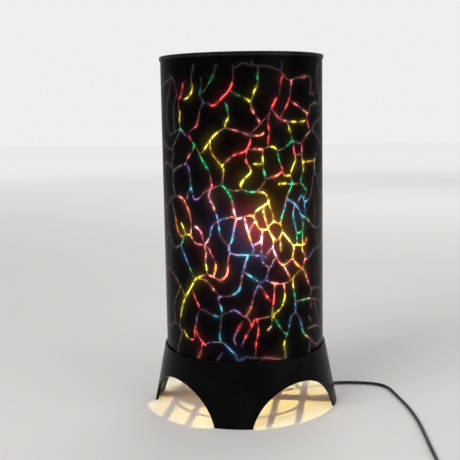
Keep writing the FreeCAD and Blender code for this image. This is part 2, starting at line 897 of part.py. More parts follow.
def drum():
    """The coloured film with its glued seam, the rotor, its bearing cup and the bottom hoop."""
    film = sleeve("film_body", "drum_inner", "drum_radius", "drum_z", "drum_top_z")
    seam = sector(
        "film_seam",
        "drum_inner - drum_film",
        "drum_inner",
        "drum_z + drum_hoop_height",
        "rotor_top_z - rotor_flange",
        "drum_seam_width",
        90,
    )
    node("drum_film", fused("film_with_seam", [film, seam]))
    hoop = sleeve("hoop_body", "drum_inner - drum_hoop_thickness", "drum_inner", "drum_z", "drum_z + drum_hoop_height")
    node("drum_hoop", hoop)
    drum_rotor()
    skirt_z = "rotor_z - cup_skirt"
    cup = turned(
        "cup_body",
        [
            ("cup_mouth_radius", skirt_z),
            ("cup_radius", skirt_z),
            ("cup_radius", "rotor_z - cup_flange"),
            ("cup_flange_radius", "rotor_z - cup_flange"),
            ("cup_flange_radius", "rotor_z"),
            ("cup_radius", "rotor_z"),
            ("cup_radius", "rotor_top_z + cup_crown - washer_thickness"),
            ("cup_mouth_radius", "rotor_top_z + cup_crown"),
            ("0", "rotor_top_z + cup_crown"),
            ("0", "cup_seat_z"),
            ("cup_seat_radius", "cup_seat_z"),
        ],
    )
    node("bearing_cup", cup)
    washer = sleeve("washer_body", "cup_radius", "washer_radius", "rotor_top_z", "rotor_top_z + washer_thickness")
    node("hub_washer", washer)


# ---- Shade ----


def shade():
    """The printed tube with its riveted lap seam at the back, and the ring on its top edge."""
    sheet_tube = sleeve("sheet_body", "shade_inner", "shade_radius", "seat_z", "shade_edge_z")
    lap = sector(
        "sheet_lap", "shade_inner - shade_sheet", "shade_inner", "seat_z", "shade_ring_z", "shade_seam_width", 90
    )
    rivets = []
    holes = []
    count = 4
    lowest = "base_height + 3 * rivet_head_radius"
    highest = "shade_ring_z - 3 * rivet_head_radius"
    inner_y = "(shade_inner - shade_sheet)"
    for i in range(count):
        height = f"{lowest} + ({highest} - ({lowest})) * {i} / {count - 1}"
        along = {"z": height, "roll": "-90"}
        shank_y = f"{inner_y} - rivet_head_height"
        shank = cylinder(
            f"rivet_shank_{i}", "rivet_radius", "2 * shade_sheet + 2 * rivet_head_height", y=shank_y, **along
        )
        sag = "(rivet_head_radius ^ 2 / shade_inner)"
        inside = cylinder(
            f"rivet_inside_{i}", "rivet_head_radius", f"rivet_head_height - {sag}", y=shank_y, **along
        )
        outside = cylinder(
            f"rivet_outside_{i}", "rivet_head_radius", "rivet_head_height", y="shade_radius", **along
        )
        rivets.append(fused(f"rivet_{i}", [shank, inside, outside]))
        holes.append(cylinder(f"rivet_hole_{i}", "rivet_radius", "6 * shade_sheet", y=shank_y, **along))
    node("shade_rivets", group("rivet_set", rivets))
    node("shade_sheet", cut("sheet_cut", fused("sheet_with_lap", [sheet_tube, lap]), holes))
    lip = "shade_ring_lip"
    top = "shade_edge_z + shade_ring_cap"
    ring = turned(
        "ring_body",
        [
            (f"shade_inner - {lip}", "shade_ring_z"),
            ("shade_inner", "shade_ring_z"),
            ("shade_inner", "shade_edge_z"),
            ("shade_radius", "shade_edge_z"),
            ("shade_radius", "shade_ring_z"),
            (f"shade_radius + {lip}", "shade_ring_z"),
            (f"shade_radius + {lip}", f"{top} - {lip} / 2"),
            (f"shade_radius + {lip} / 2", top),
            (f"shade_inner - {lip} / 2", top),
            (f"shade_inner - {lip}", f"{top} - {lip} / 2"),
        ],
    )
    node("shade_top_ring", ring)


# ---- Cord, switch, coil and plug ----

# The cord's route from the strain relief's tip to the switch. It drops to the floor, leaves under
# the right-hand rear arch and sweeps round to the front.
CORD_ROUTE = [
    (45.0, 26.0, 33.0),
    (54.1, 31.4, 28.4),
    (61.6, 35.9, 18.0),
    (68.2, 39.6, 7.6),
    (76.2, 44.0, 2.2),
    (86.0, 48.6, 1.5),
    (97.3, 51.5, 1.5),
    (109.2, 52.0, 1.5),
    (120.6, 51.3, 1.5),
    (129.6, 48.9, 1.5),
    (137.0, 43.8, 1.5),
    (142.2, 35.0, 1.5),
    (145.7, 22.5, 1.5),
    (151.6, 2.9, 1.5),
    (158.5, -22.4, 1.5),
    (164.4, -54.0, 1.5),
    (168.0, -89.0, 1.5),
    (171.0, -122.0, 1.5),
    (173.6, -146.0, 1.5),
    (175.6, -166.0, 1.5),
    (174.4, -184.0, 1.6),
    (168.4, -197.5, 3.0),
    (157.5, -204.0, 4.5),
]
# From the switch to the coil's outer turn, and from the coil to the plug's tail.
LINK_ROUTE = [(77.5, -204.0, 4.5), (69.5, -204.2, 2.6), (61.0, -204.0, 1.5)]
TAIL_ROUTE = [(60.0, -240.0, 1.5), (70.0, -239.4, 1.9), (80.0, -235.6, 5.2), (89.5, -234.0, 6.5)]


def along_lead(distance, height):
    """A point under the deck at a distance from the axis, in the direction of the cord's lug."""
    turn = math.radians(number("lead_turn"))
    reach = number(distance)
    return (reach * math.cos(turn), reach * math.sin(turn), number(height))


def inner_lead():
    """The lead from the lampholder down the nipple and across to the lug, and the strain relief."""
    bend = number("lead_bend")
    top = (0.0, 0.0, number("deck_top_z"))
    start = Vector(0, 0, number("lead_z") + bend)
    middle = bend * (1 - math.sqrt(0.5))
    turn = math.radians(number("lead_turn"))
    heading = Vector(math.cos(turn), math.sin(turn), 0)
    knee = heading * middle + Vector(0, 0, number("lead_z") + middle)
    end = heading * bend + Vector(0, 0, number("lead_z"))
    inner_face = Vector(*along_lead("lug_distance - relief_flange", "lead_z"))
    path = Part.Wire(
        [
            Part.LineSegment(Vector(*top), start).toShape(),
            Part.Arc(start, knee, end).toShape(),
            Part.LineSegment(end, inner_face).toShape(),
        ]
    )
    section = Part.Wire([Part.makeCircle(number("cord_radius"), Vector(*top), Vector(0, 0, -1))])
    node("supply_lead", solid_feature("supply_lead_solid", path.makePipeShell([section], True, False)))
    relief = turned(
        "relief_body",
        [
            ("0", "lug_distance - relief_flange"),
            ("relief_flange_radius", "lug_distance - relief_flange"),
            ("relief_flange_radius", "lug_distance"),
            ("relief_spigot_radius", "lug_distance"),
            ("relief_spigot_radius", "relief_foot"),
            ("relief_flange_radius", "relief_foot"),
            ("relief_flange_radius", "relief_foot + relief_flange"),
            ("relief_radius", "relief_foot + relief_flange"),
            ("relief_tip_radius", "relief_tip"),
            ("0", "relief_tip"),
        ],
    )
    node("strain_relief", place(relief, z="lead_z", yaw="lead_turn", pitch="90"))


def in_switch(x, y, z):
    """A place in the switch's own frame, which runs along its length, as expressions of the lamp's."""
    return {
        "x": f"switch_x + ({x}) * cos(switch_turn) - ({y}) * sin(switch_turn)",
        "y": f"switch_y + ({x}) * sin(switch_turn) + ({y}) * cos(switch_turn)",
        "z": z,
        "yaw": "switch_turn",
    }


def switch_shell(name, bottom, height, rounded_level, tools):
    """One half of the switch's case, rounded in plan and along its outer edge."""
    blank = box(name + "_blank", "switch_length", "switch_width", height, z=bottom)
    corners = rounded(name + "_corners", blank, "switch_corner", upright)
    edges = rounded(name + "_edges", corners, "switch_edge", level_at(number(rounded_level)))
    shell = cut(name + "_cut", edges, tools)
    return node(name, place(shell, x="switch_x", y="switch_y", yaw="switch_turn"))


def switch_cavity(name):
    """The room that the rocker swings in, with the bores of its pins."""
    swing = cylinder(
        name + "_swing",
        "rocker_radius + rocker_gap",
        "rocker_width + 2 * rocker_gap",
        y="rocker_width / 2 + rocker_gap",
        z="switch_pivot_z",
        roll="90",
    )
    room = doc.addObject("Part::Common", name + "_room")
    room.Base = swing
    floor = "switch_pivot_z - rocker_depth - rocker_gap"
    reach = "2 * (rocker_radius + rocker_gap)"
    room.Tool = box(name + "_block", reach, "switch_width", reach, z=floor)
    bore_length = "rocker_width + 2 * (rocker_pin_length + rocker_gap)"
    bore = cylinder(
        name + "_bore",
        "rocker_pin_radius + rocker_pin_clearance",
        bore_length,
        y=f"({bore_length}) / 2",
        z="switch_pivot_z",
        roll="90",
    )
    return [room, bore]


def switch_rocker():
    """A V-shaped paddle with cylindrical ends and two pins, its left half level at rest."""
    body = doc.addObject("PartDesign::Body", "rocker_body")
    half = "rocker_radius"
    rise = "rocker_radius * tan(rocker_throw / 2)"
    outline = polygon(
        sketch_on(body, "rocker_outline", "XZ_Plane"),
        [
            ("0", "-rocker_depth"),
            (half, f"-rocker_depth + {rise}"),
            (half, f"rocker_face_height + {rise}"),
            ("0", "rocker_face_height"),
            (f"-{half}", f"rocker_face_height + {rise}"),
            (f"-{half}", f"-rocker_depth + {rise}"),
        ],
    )
    paddle = body.newObject("PartDesign::Pad", "paddle")
    paddle.Profile = outline
    paddle.Midplane = True
    bind(paddle, Length="rocker_width")
    trimmed = doc.addObject("Part::Common", "rocker_trimmed")
    trimmed.Base = body
    trimmed.Tool = cylinder("rocker_ends", "rocker_radius", "rocker_width", y="rocker_width / 2", roll="90")
    pin_length = "rocker_width + 2 * rocker_pin_length"
    pin = cylinder("rocker_pin", "rocker_pin_radius", pin_length, y=f"({pin_length}) / 2", roll="90")
    rocker = fused("rocker_solid", [trimmed, pin])
    spot = in_switch("0", "0", "switch_pivot_z")
    return node("switch_rocker", place(rocker, **spot, pitch="-rocker_throw / 2"))


def switch():
    """Two case halves, two screws from below, and the rocker between them."""
    bores = []
    screws = []
    head_height = "(switch_screw_head - switch_screw_radius)"
    for side in (-1, 1):
        x = f"{side} * switch_screw_spacing / 2"
        profile = [
            ("0", "switch_edge / 4"),
            ("switch_screw_head", "switch_edge / 4"),
            ("switch_screw_radius", f"switch_edge / 4 + {head_height}"),
            ("switch_screw_radius", "switch_lower_height + switch_upper_height / 2"),
            ("0", "switch_lower_height + switch_upper_height / 2"),
        ]
        screw = turned(f"switch_screw_{side}", profile)
        screws.append(place(screw, **in_switch(x, "0", "0")))
        sink = [("0", "-switch_edge"), ("switch_screw_head", "-switch_edge"), *profile[1:]]
        bores.append(place(turned(f"screw_sink_{side}", sink), x=x))
    node("switch_screws", group("switch_screw_set", screws))
    switch_shell("switch_lower_shell", "0", "switch_lower_height", "0", [*switch_cavity("lower"), *bores])
    top = "switch_lower_height + switch_upper_height"
    tools = [*switch_cavity("upper"), *bores]
    switch_shell("switch_upper_shell", "switch_lower_height", "switch_upper_height", top, tools)
    switch_rocker()


def coil_ring(name, growth):
    """The bundle of turns as one ring with rounded edges, larger all round by growth."""
    half = f"(coil_bundle_width / 2 + {growth})"
    low = f"-({growth})"
    high = f"(coil_bundle_height + {growth})"
    corner = "(2 * cord_radius / 3)"
    return turned(
        name,
        [
            (f"coil_radius - {half} + {corner}", low),
            (f"coil_radius + {half} - {corner}", low),
            (f"coil_radius + {half}", f"{low} + {corner}"),
            (f"coil_radius + {half}", f"{high} - {corner}"),
            (f"coil_radius + {half} - {corner}", high),
            (f"coil_radius - {half} + {corner}", high),
            (f"coil_radius - {half}", f"{high} - {corner}"),
            (f"coil_radius - {half}", f"{low} + {corner}"),
        ],
    )


def cord():
    """The cord's tubes, the coil of spare cord and its tie."""
    radius = number("cord_radius")
    half_switch = number("switch_length / 2")
    switch_x = number("switch_x")
    switch_y = number("switch_y")
    cord_z = number("switch_cord_height")
    switch_in = (switch_x + half_switch, switch_y, cord_z)
    switch_out = (switch_x - half_switch, switch_y, cord_z)
    plug_end = (number("plug_x - plug_tail_length"), number("plug_y"), number("plug_height / 2"))
    start = along_lead("relief_tip", "lead_z")
    node("power_cord", tube("power_cord_tube", [start, *CORD_ROUTE, switch_in], radius))
    link = node("cord_link", tube("cord_link_tube", [switch_out, *LINK_ROUTE], radius))
    tail = node("cord_tail", tube("cord_tail_tube", [*TAIL_ROUTE, plug_end], radius))
    middle = {"x": "coil_x", "y": "coil_y"}
    coil = place(coil_ring("coil_body", "0"), **middle)
    node("cord_coil", cut("coil_cut", coil, [link, tail]))
    reach = "coil_radius + coil_bundle_width"
    band = doc.addObject("Part::Common", "tie_band")
    band.Base = coil_ring("tie_ring", "tie_thickness")
    band.Tool = box("tie_slice", reach, "tie_width", "4 * coil_bundle_height", x=f"-({reach}) / 2", z="0")
    tie = cut("tie_cut", band, [coil_ring("tie_hollow", "0")])
    node("cord_tie", place(tie, **middle))


def plug():
    """A moulded two-blade plug with a tapered tail, lying on its flat side."""
    block = box("plug_block", "plug_length", "plug_width", "plug_height", x="plug_length / 2")
    smooth = rounded("plug_smooth", block, "plug_corner", lambda edge: not upright(edge) and along_x(edge))
    tail_body = turned(
        "plug_tail_body",
        [
            ("0", "0"),
            ("plug_tip_radius", "0"),
            ("plug_tail_radius", "plug_tail_length"),
            ("0", "plug_tail_length"),
        ],
    )
    tail = place(tail_body, x="-plug_tail_length", z="plug_height / 2", pitch="90")
    spot = {"x": "plug_x", "y": "plug_y", "yaw": "plug_turn"}
    node("plug_body", place(fused("plug_solid", [smooth, tail]), **spot))
    blades = [
        box(
            "blade",
            "blade_length",
            "blade_thickness",
            "blade_width",
            x="plug_length + blade_length / 2",
            y=f"{side} * blade_spacing / 2",
            z="(plug_height - blade_width) / 2",
        )
        for side in (-1, 1)
    ]
    node("plug_blades", place(group("blade_pair", blades), **spot))


def along_x(edge):
    start, end = ends_of(edge)
    return abs(start.y - end.y) < 1e-6 and abs(start.z - end.z) < 1e-6


base_shell()
vent_deck()
deck_screws()
lampholder()
bulb()
bail()
drum()
shade()
inner_lead()
switch()
cord()
plug()
doc.recompute()

faults = [item.Label for item in doc.Objects if {"Invalid", "Error"} & set(item.State)]
if faults:
    raise RuntimeError(f"features failed: {faults}")
for label, item in NODES.items():
    if item.Shape.isNull() or not item.Shape.isValid() or not item.Shape.Solids:
        raise RuntimeError(f"{label} has no valid solid")

os.makedirs("parts", exist_ok=True)
for label, item in NODES.items():
    item.Shape.exportStep(f"parts/{label}.step")
print(f"{len(NODES)} sub-parts written")
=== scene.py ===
import math

import bpy
from mathutils import Matrix, Vector, geometry, kdtree, noise


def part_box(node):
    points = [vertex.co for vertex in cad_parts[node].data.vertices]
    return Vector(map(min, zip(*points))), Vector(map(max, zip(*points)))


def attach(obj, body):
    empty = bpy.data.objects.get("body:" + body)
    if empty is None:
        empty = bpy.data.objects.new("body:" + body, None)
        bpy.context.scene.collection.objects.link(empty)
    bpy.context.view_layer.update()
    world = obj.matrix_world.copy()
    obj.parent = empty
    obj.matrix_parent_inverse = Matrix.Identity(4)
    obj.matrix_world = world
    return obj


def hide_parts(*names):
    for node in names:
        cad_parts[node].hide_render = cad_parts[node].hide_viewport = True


# The looks of a rotating motion lamp: a black tube printed with clear cracks, round a drum of
# coloured film that the bulb lights from inside.

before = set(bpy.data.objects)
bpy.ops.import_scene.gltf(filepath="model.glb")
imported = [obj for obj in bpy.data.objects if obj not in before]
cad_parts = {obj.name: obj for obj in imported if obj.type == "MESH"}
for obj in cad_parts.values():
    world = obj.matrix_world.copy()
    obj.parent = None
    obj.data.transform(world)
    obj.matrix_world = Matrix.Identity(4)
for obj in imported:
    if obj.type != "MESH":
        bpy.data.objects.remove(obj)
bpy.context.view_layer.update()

MM = 0.001

# Noise vectors take their offsets from this seed, which would else be the time.
WANDER_SEED = 1
noise.seed_set(WANDER_SEED)

# Camera: the place, in millimetres, and turn that put the lamp where the photograph has it.
CAMERA_PLACE = Vector((108.9, -826.1, 284.3))
CAMERA_YAW = math.radians(8.41)
CAMERA_PITCH = math.radians(-7.95)
CAMERA_ROLL = math.radians(-0.95)
CAMERA_LENS = 67.97
SENSOR_WIDTH = 36

# Sizes that the finishes and cords share with the CAD model, in millimetres unless they say MM.
SHADE_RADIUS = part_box("shade_sheet")[1][0] / MM
DRUM_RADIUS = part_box("drum_film")[1][0] / MM
SHEET_THICKNESS = 0.6
FILM_THICKNESS = 0.4
FILAMENT_SPOT = Vector((14.0, -9.0, 164.5))
CORD_DIAMETER = 3.0 * MM
COIL_CENTRE = Vector((52.0, -222.0, 0.0))
COIL_TRACKS = (15.0, 18.0, 21.0)
COIL_LEVELS = (1.5, 4.5, 7.5, 10.5)
COIL_STEPS = 16  # a turn
COIL_CROSSING = 0.3  # the share of a turn in which the cord crosses to its next place

# The print and the film, in millimetres along the rolled sheets. A lap is its width, and how far
# it stays from the sheet's top and bottom.
SHEET_LAP = (12.0, 2.2)
FILM_LAP = (8.0, 8.0)
LAP_COLUMNS = 6
CRACK_HALF_WIDTH = 0.85
CRACK_SWELL = 0.4
CRACK_SWELL_LENGTH = 7.0
CRACK_STEP = 2.0
PRINT_COLUMN = 5.0
PRINT_ROW = 6.0
PRINT_MARGIN = 8.0
PRINT_SNAP = 0.001
FILM_COLUMNS = 250
FILM_ROWS = 145
PATCH_STEP = 1.5
PATCH_REACH = 1.9
PATCH_FADE = 1.1
PATCH_WANDER = 1.2
PATCH_WANDER_LENGTH = 6.0
SIDE_SPAN = (103.0, 117.0)
SIDE_PATCH_SPACING = 9
SIDE_PATCH_STEPS = 5
SIDE_COLOUR_STRIDE = 3
GRAZING_TURN = math.radians(68)

# The bulb's light, painted as glow and haze in the film and the print. A pair or span is where a change
# starts and ends.
BULB_GLOW_SPOT = (23.0, 178.0)
BULB_GLOW_REACH = 42.0
BARE_FILM = (Vector((0.029, 0.0065, 0.0045)), Vector((0.024, 0.0100, 0.0140)))
BARE_LENGTH = 30.0
LIT_FILM = Vector((0.21, 0.064, 0.032))
PATCH_BLEED = 0.06
PATCH_LIGHT = (0.80, 0.5)  # everywhere, and added nearest the bulb
HOT_COLOUR = Vector((1.0, 0.7, 0.6))
HOT_SHARE = 0.05
TOP_FADE = (235.0, 325.0)
TOP_LOSS = 0.4
TOP_BARE_LOSS = 0.6
# A grey glow painted in the cracks at the lamp's sides and above the film.
PLAIN_GLOW = Vector((0.125, 0.085, 0.100))
PLAIN_SPAN = (48.0, 85.0)
PLAIN_TOP_SHARE = 0.2
HALO_WIDTH = 2.4
HALO_FADE = (2.64, 0.24)
HALO_STEP = 0.7
HALO_SHARE = 0.10
PATCH_HAZE_REACH = 6.0
PATCH_HAZE_SHARE = 0.08
PATCH_HAZE_FADE = 150.0
HAZE_SLANT = 0.7
HAZE_RED = (0.72, 0.07, 0.16)
HAZE_VIOLET = (0.26, 0.14, 0.34)
HAZE_ORANGE = (0.58, 0.20, 0.01)
HAZE_CHANGES = ((12.0, 1.0, HAZE_VIOLET), (-22.0, -50.0, HAZE_RED), (18.0, 50.0, HAZE_ORANGE))
HAZE_REACHES = ((90.0, 0.035), (38.0, 0.20))  # the wide haze and the close one, with their strengths
LIFT_FADE = 60.0
# Painted shade: where the cracks grow more opaque, and so darker, at the print's bottom and top, and by
# how much.
SHADED_LOW_END = (68.0, 64.0)
SHADED_HIGH_END = (309.0, 314.0)
SHADED_SHARE = 0.5

# The stage, in metres, and its light.
FLOOR_REACH = 6.0
FLOOR_DROP = 0.0002
FLOOR_FADE = (600.0, 3700.0)  # in millimetres
FLOOR_GLOW = 0.5
SKY_LIGHT = 0.40
SKY_SHOWN = 0.86
LIGHT_TARGET = Vector((0.0, 0.0, 0.15))
STUDIO_LIGHTS = (  # each with its place, size and power
    ("key", (-1.1, -1.5, 1.5), 1.3, 26.0),
    ("fill", (1.6, -1.0, 0.9), 1.4, 10.0),
    ("back", (0.3, 1.7, 1.4), 1.4, 12.0),
)
BULB_COLOUR = (1.0, 0.80, 0.30)
BULB_ENERGY = 1.65
BULB_SIZE = 2.0 * MM


def put(name, data):
    """A new object in the scene that holds the data."""
    piece = bpy.data.objects.new(name, data)
    bpy.context.scene.collection.objects.link(piece)
    return piece


def way(value, start, end):
    """How far the value is on its way from start to end, from 0 to 1."""
    return min(1.0, max(0.0, (value - start) / (end - start)))


# ---- Camera ----


def set_camera():
    camera = put("camera", bpy.data.cameras.new("camera"))
    camera.data.sensor_width = SENSOR_WIDTH
    camera.data.lens = CAMERA_LENS
    upright = Matrix.Rotation(math.radians(90), 4, "X")
    aim = Matrix.Rotation(CAMERA_YAW, 4, "Z") @ upright @ Matrix.Rotation(CAMERA_PITCH, 4, "X")
    aim = aim @ Matrix.Rotation(CAMERA_ROLL, 4, "Z")
    camera.matrix_world = Matrix.Translation(CAMERA_PLACE * MM) @ aim
    bpy.context.scene.camera = camera


# ---- Cords ----

# From the strain relief to the in-line switch: the same points as the CAD tube's route.
POWER_ROUTE = [
    (37.2, 21.5, 33.0), (45.0, 26.0, 33.0), (54.1, 31.4, 28.4), (61.6, 35.9, 18.0),
    (68.2, 39.6, 7.6), (76.2, 44.0, 2.2), (86.0, 48.6, 1.5), (97.3, 51.5, 1.5),
    (109.2, 52.0, 1.5), (120.6, 51.3, 1.5), (129.6, 48.9, 1.5), (137.0, 43.8, 1.5),
    (142.2, 35.0, 1.5), (145.7, 22.5, 1.5), (151.6, 2.9, 1.5), (158.5, -22.4, 1.5),
    (164.4, -54.0, 1.5), (168.0, -89.0, 1.5), (171.0, -122.0, 1.5), (173.6, -146.0, 1.5),
    (175.6, -166.0, 1.5), (174.4, -184.0, 1.6), (168.4, -197.5, 3.0), (157.5, -204.0, 4.5),
    (146.0, -204.0, 4.5),
]
LINK_ROUTE = [(86.0, -204.0, 4.5), (77.5, -204.0, 4.5), (69.5, -204.2, 2.6), (61.0, -204.0, 1.5)]
TAIL_ROUTE = [
    (60.0, -241.6, 1.5), (70.0, -239.4, 1.9), (80.0, -235.6, 5.2), (89.5, -234.0, 6.5),
    (98.0, -234.0, 6.5),
]


def coil_route():
    """The coil's turns: each slot of the bundle in turn, from the middle of its foot to its rim."""
    inner, middle, outer = COIL_TRACKS
    low, lower, upper, high = COIL_LEVELS
    slots = [
        (middle, low), (inner, low), (inner, lower), (inner, upper), (inner, high), (middle, high),
        (outer, high), (outer, upper), (middle, upper), (middle, lower), (outer, lower), (outer, low),
    ]
    points = []
    for step in range(len(slots) * COIL_STEPS - COIL_STEPS // 2 + 1):
        turn = step / COIL_STEPS
        here = int(turn)
        share = way(turn - here, 1 - COIL_CROSSING, 1)
        radius, height = Vector(slots[here]).lerp(slots[min(here + 1, len(slots) - 1)], share)
        angle = math.radians(90 + 360 * turn)
        spot = Vector((radius * math.cos(angle), radius * math.sin(angle), height))
        points.append(COIL_CENTRE + spot)
    return points


def cord_piece(name, route, material):
    """A round cord along a smooth line whose control points are the route, in millimetres."""
    curve = bpy.data.curves.new(name, "CURVE")
    curve.dimensions = "3D"
    curve.bevel_depth = CORD_DIAMETER / 2
    curve.bevel_resolution = 4
    curve.use_fill_caps = True
    spline = curve.splines.new("NURBS")
    spline.points.add(len(route) - 1)
    for point, place in zip(spline.points, route):
        point.co = (*(Vector(place) * MM), 1.0)
    spline.order_u = 3
    spline.use_endpoint_u = True
    spline.resolution_u = 8
    spline.use_smooth = True
    curve.materials.append(material)
    piece = put(name, curve)
    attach(piece, "lamp")
    return piece


def lay_cords(material):
    power = cord_piece("power_cord_line", POWER_ROUTE, material)
    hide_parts("power_cord")
    spare = cord_piece("spare_cord_line", LINK_ROUTE + coil_route() + TAIL_ROUTE, material)
    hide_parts("cord_link", "cord_coil", "cord_tail")


# ---- The printed sheet and the coloured film ----

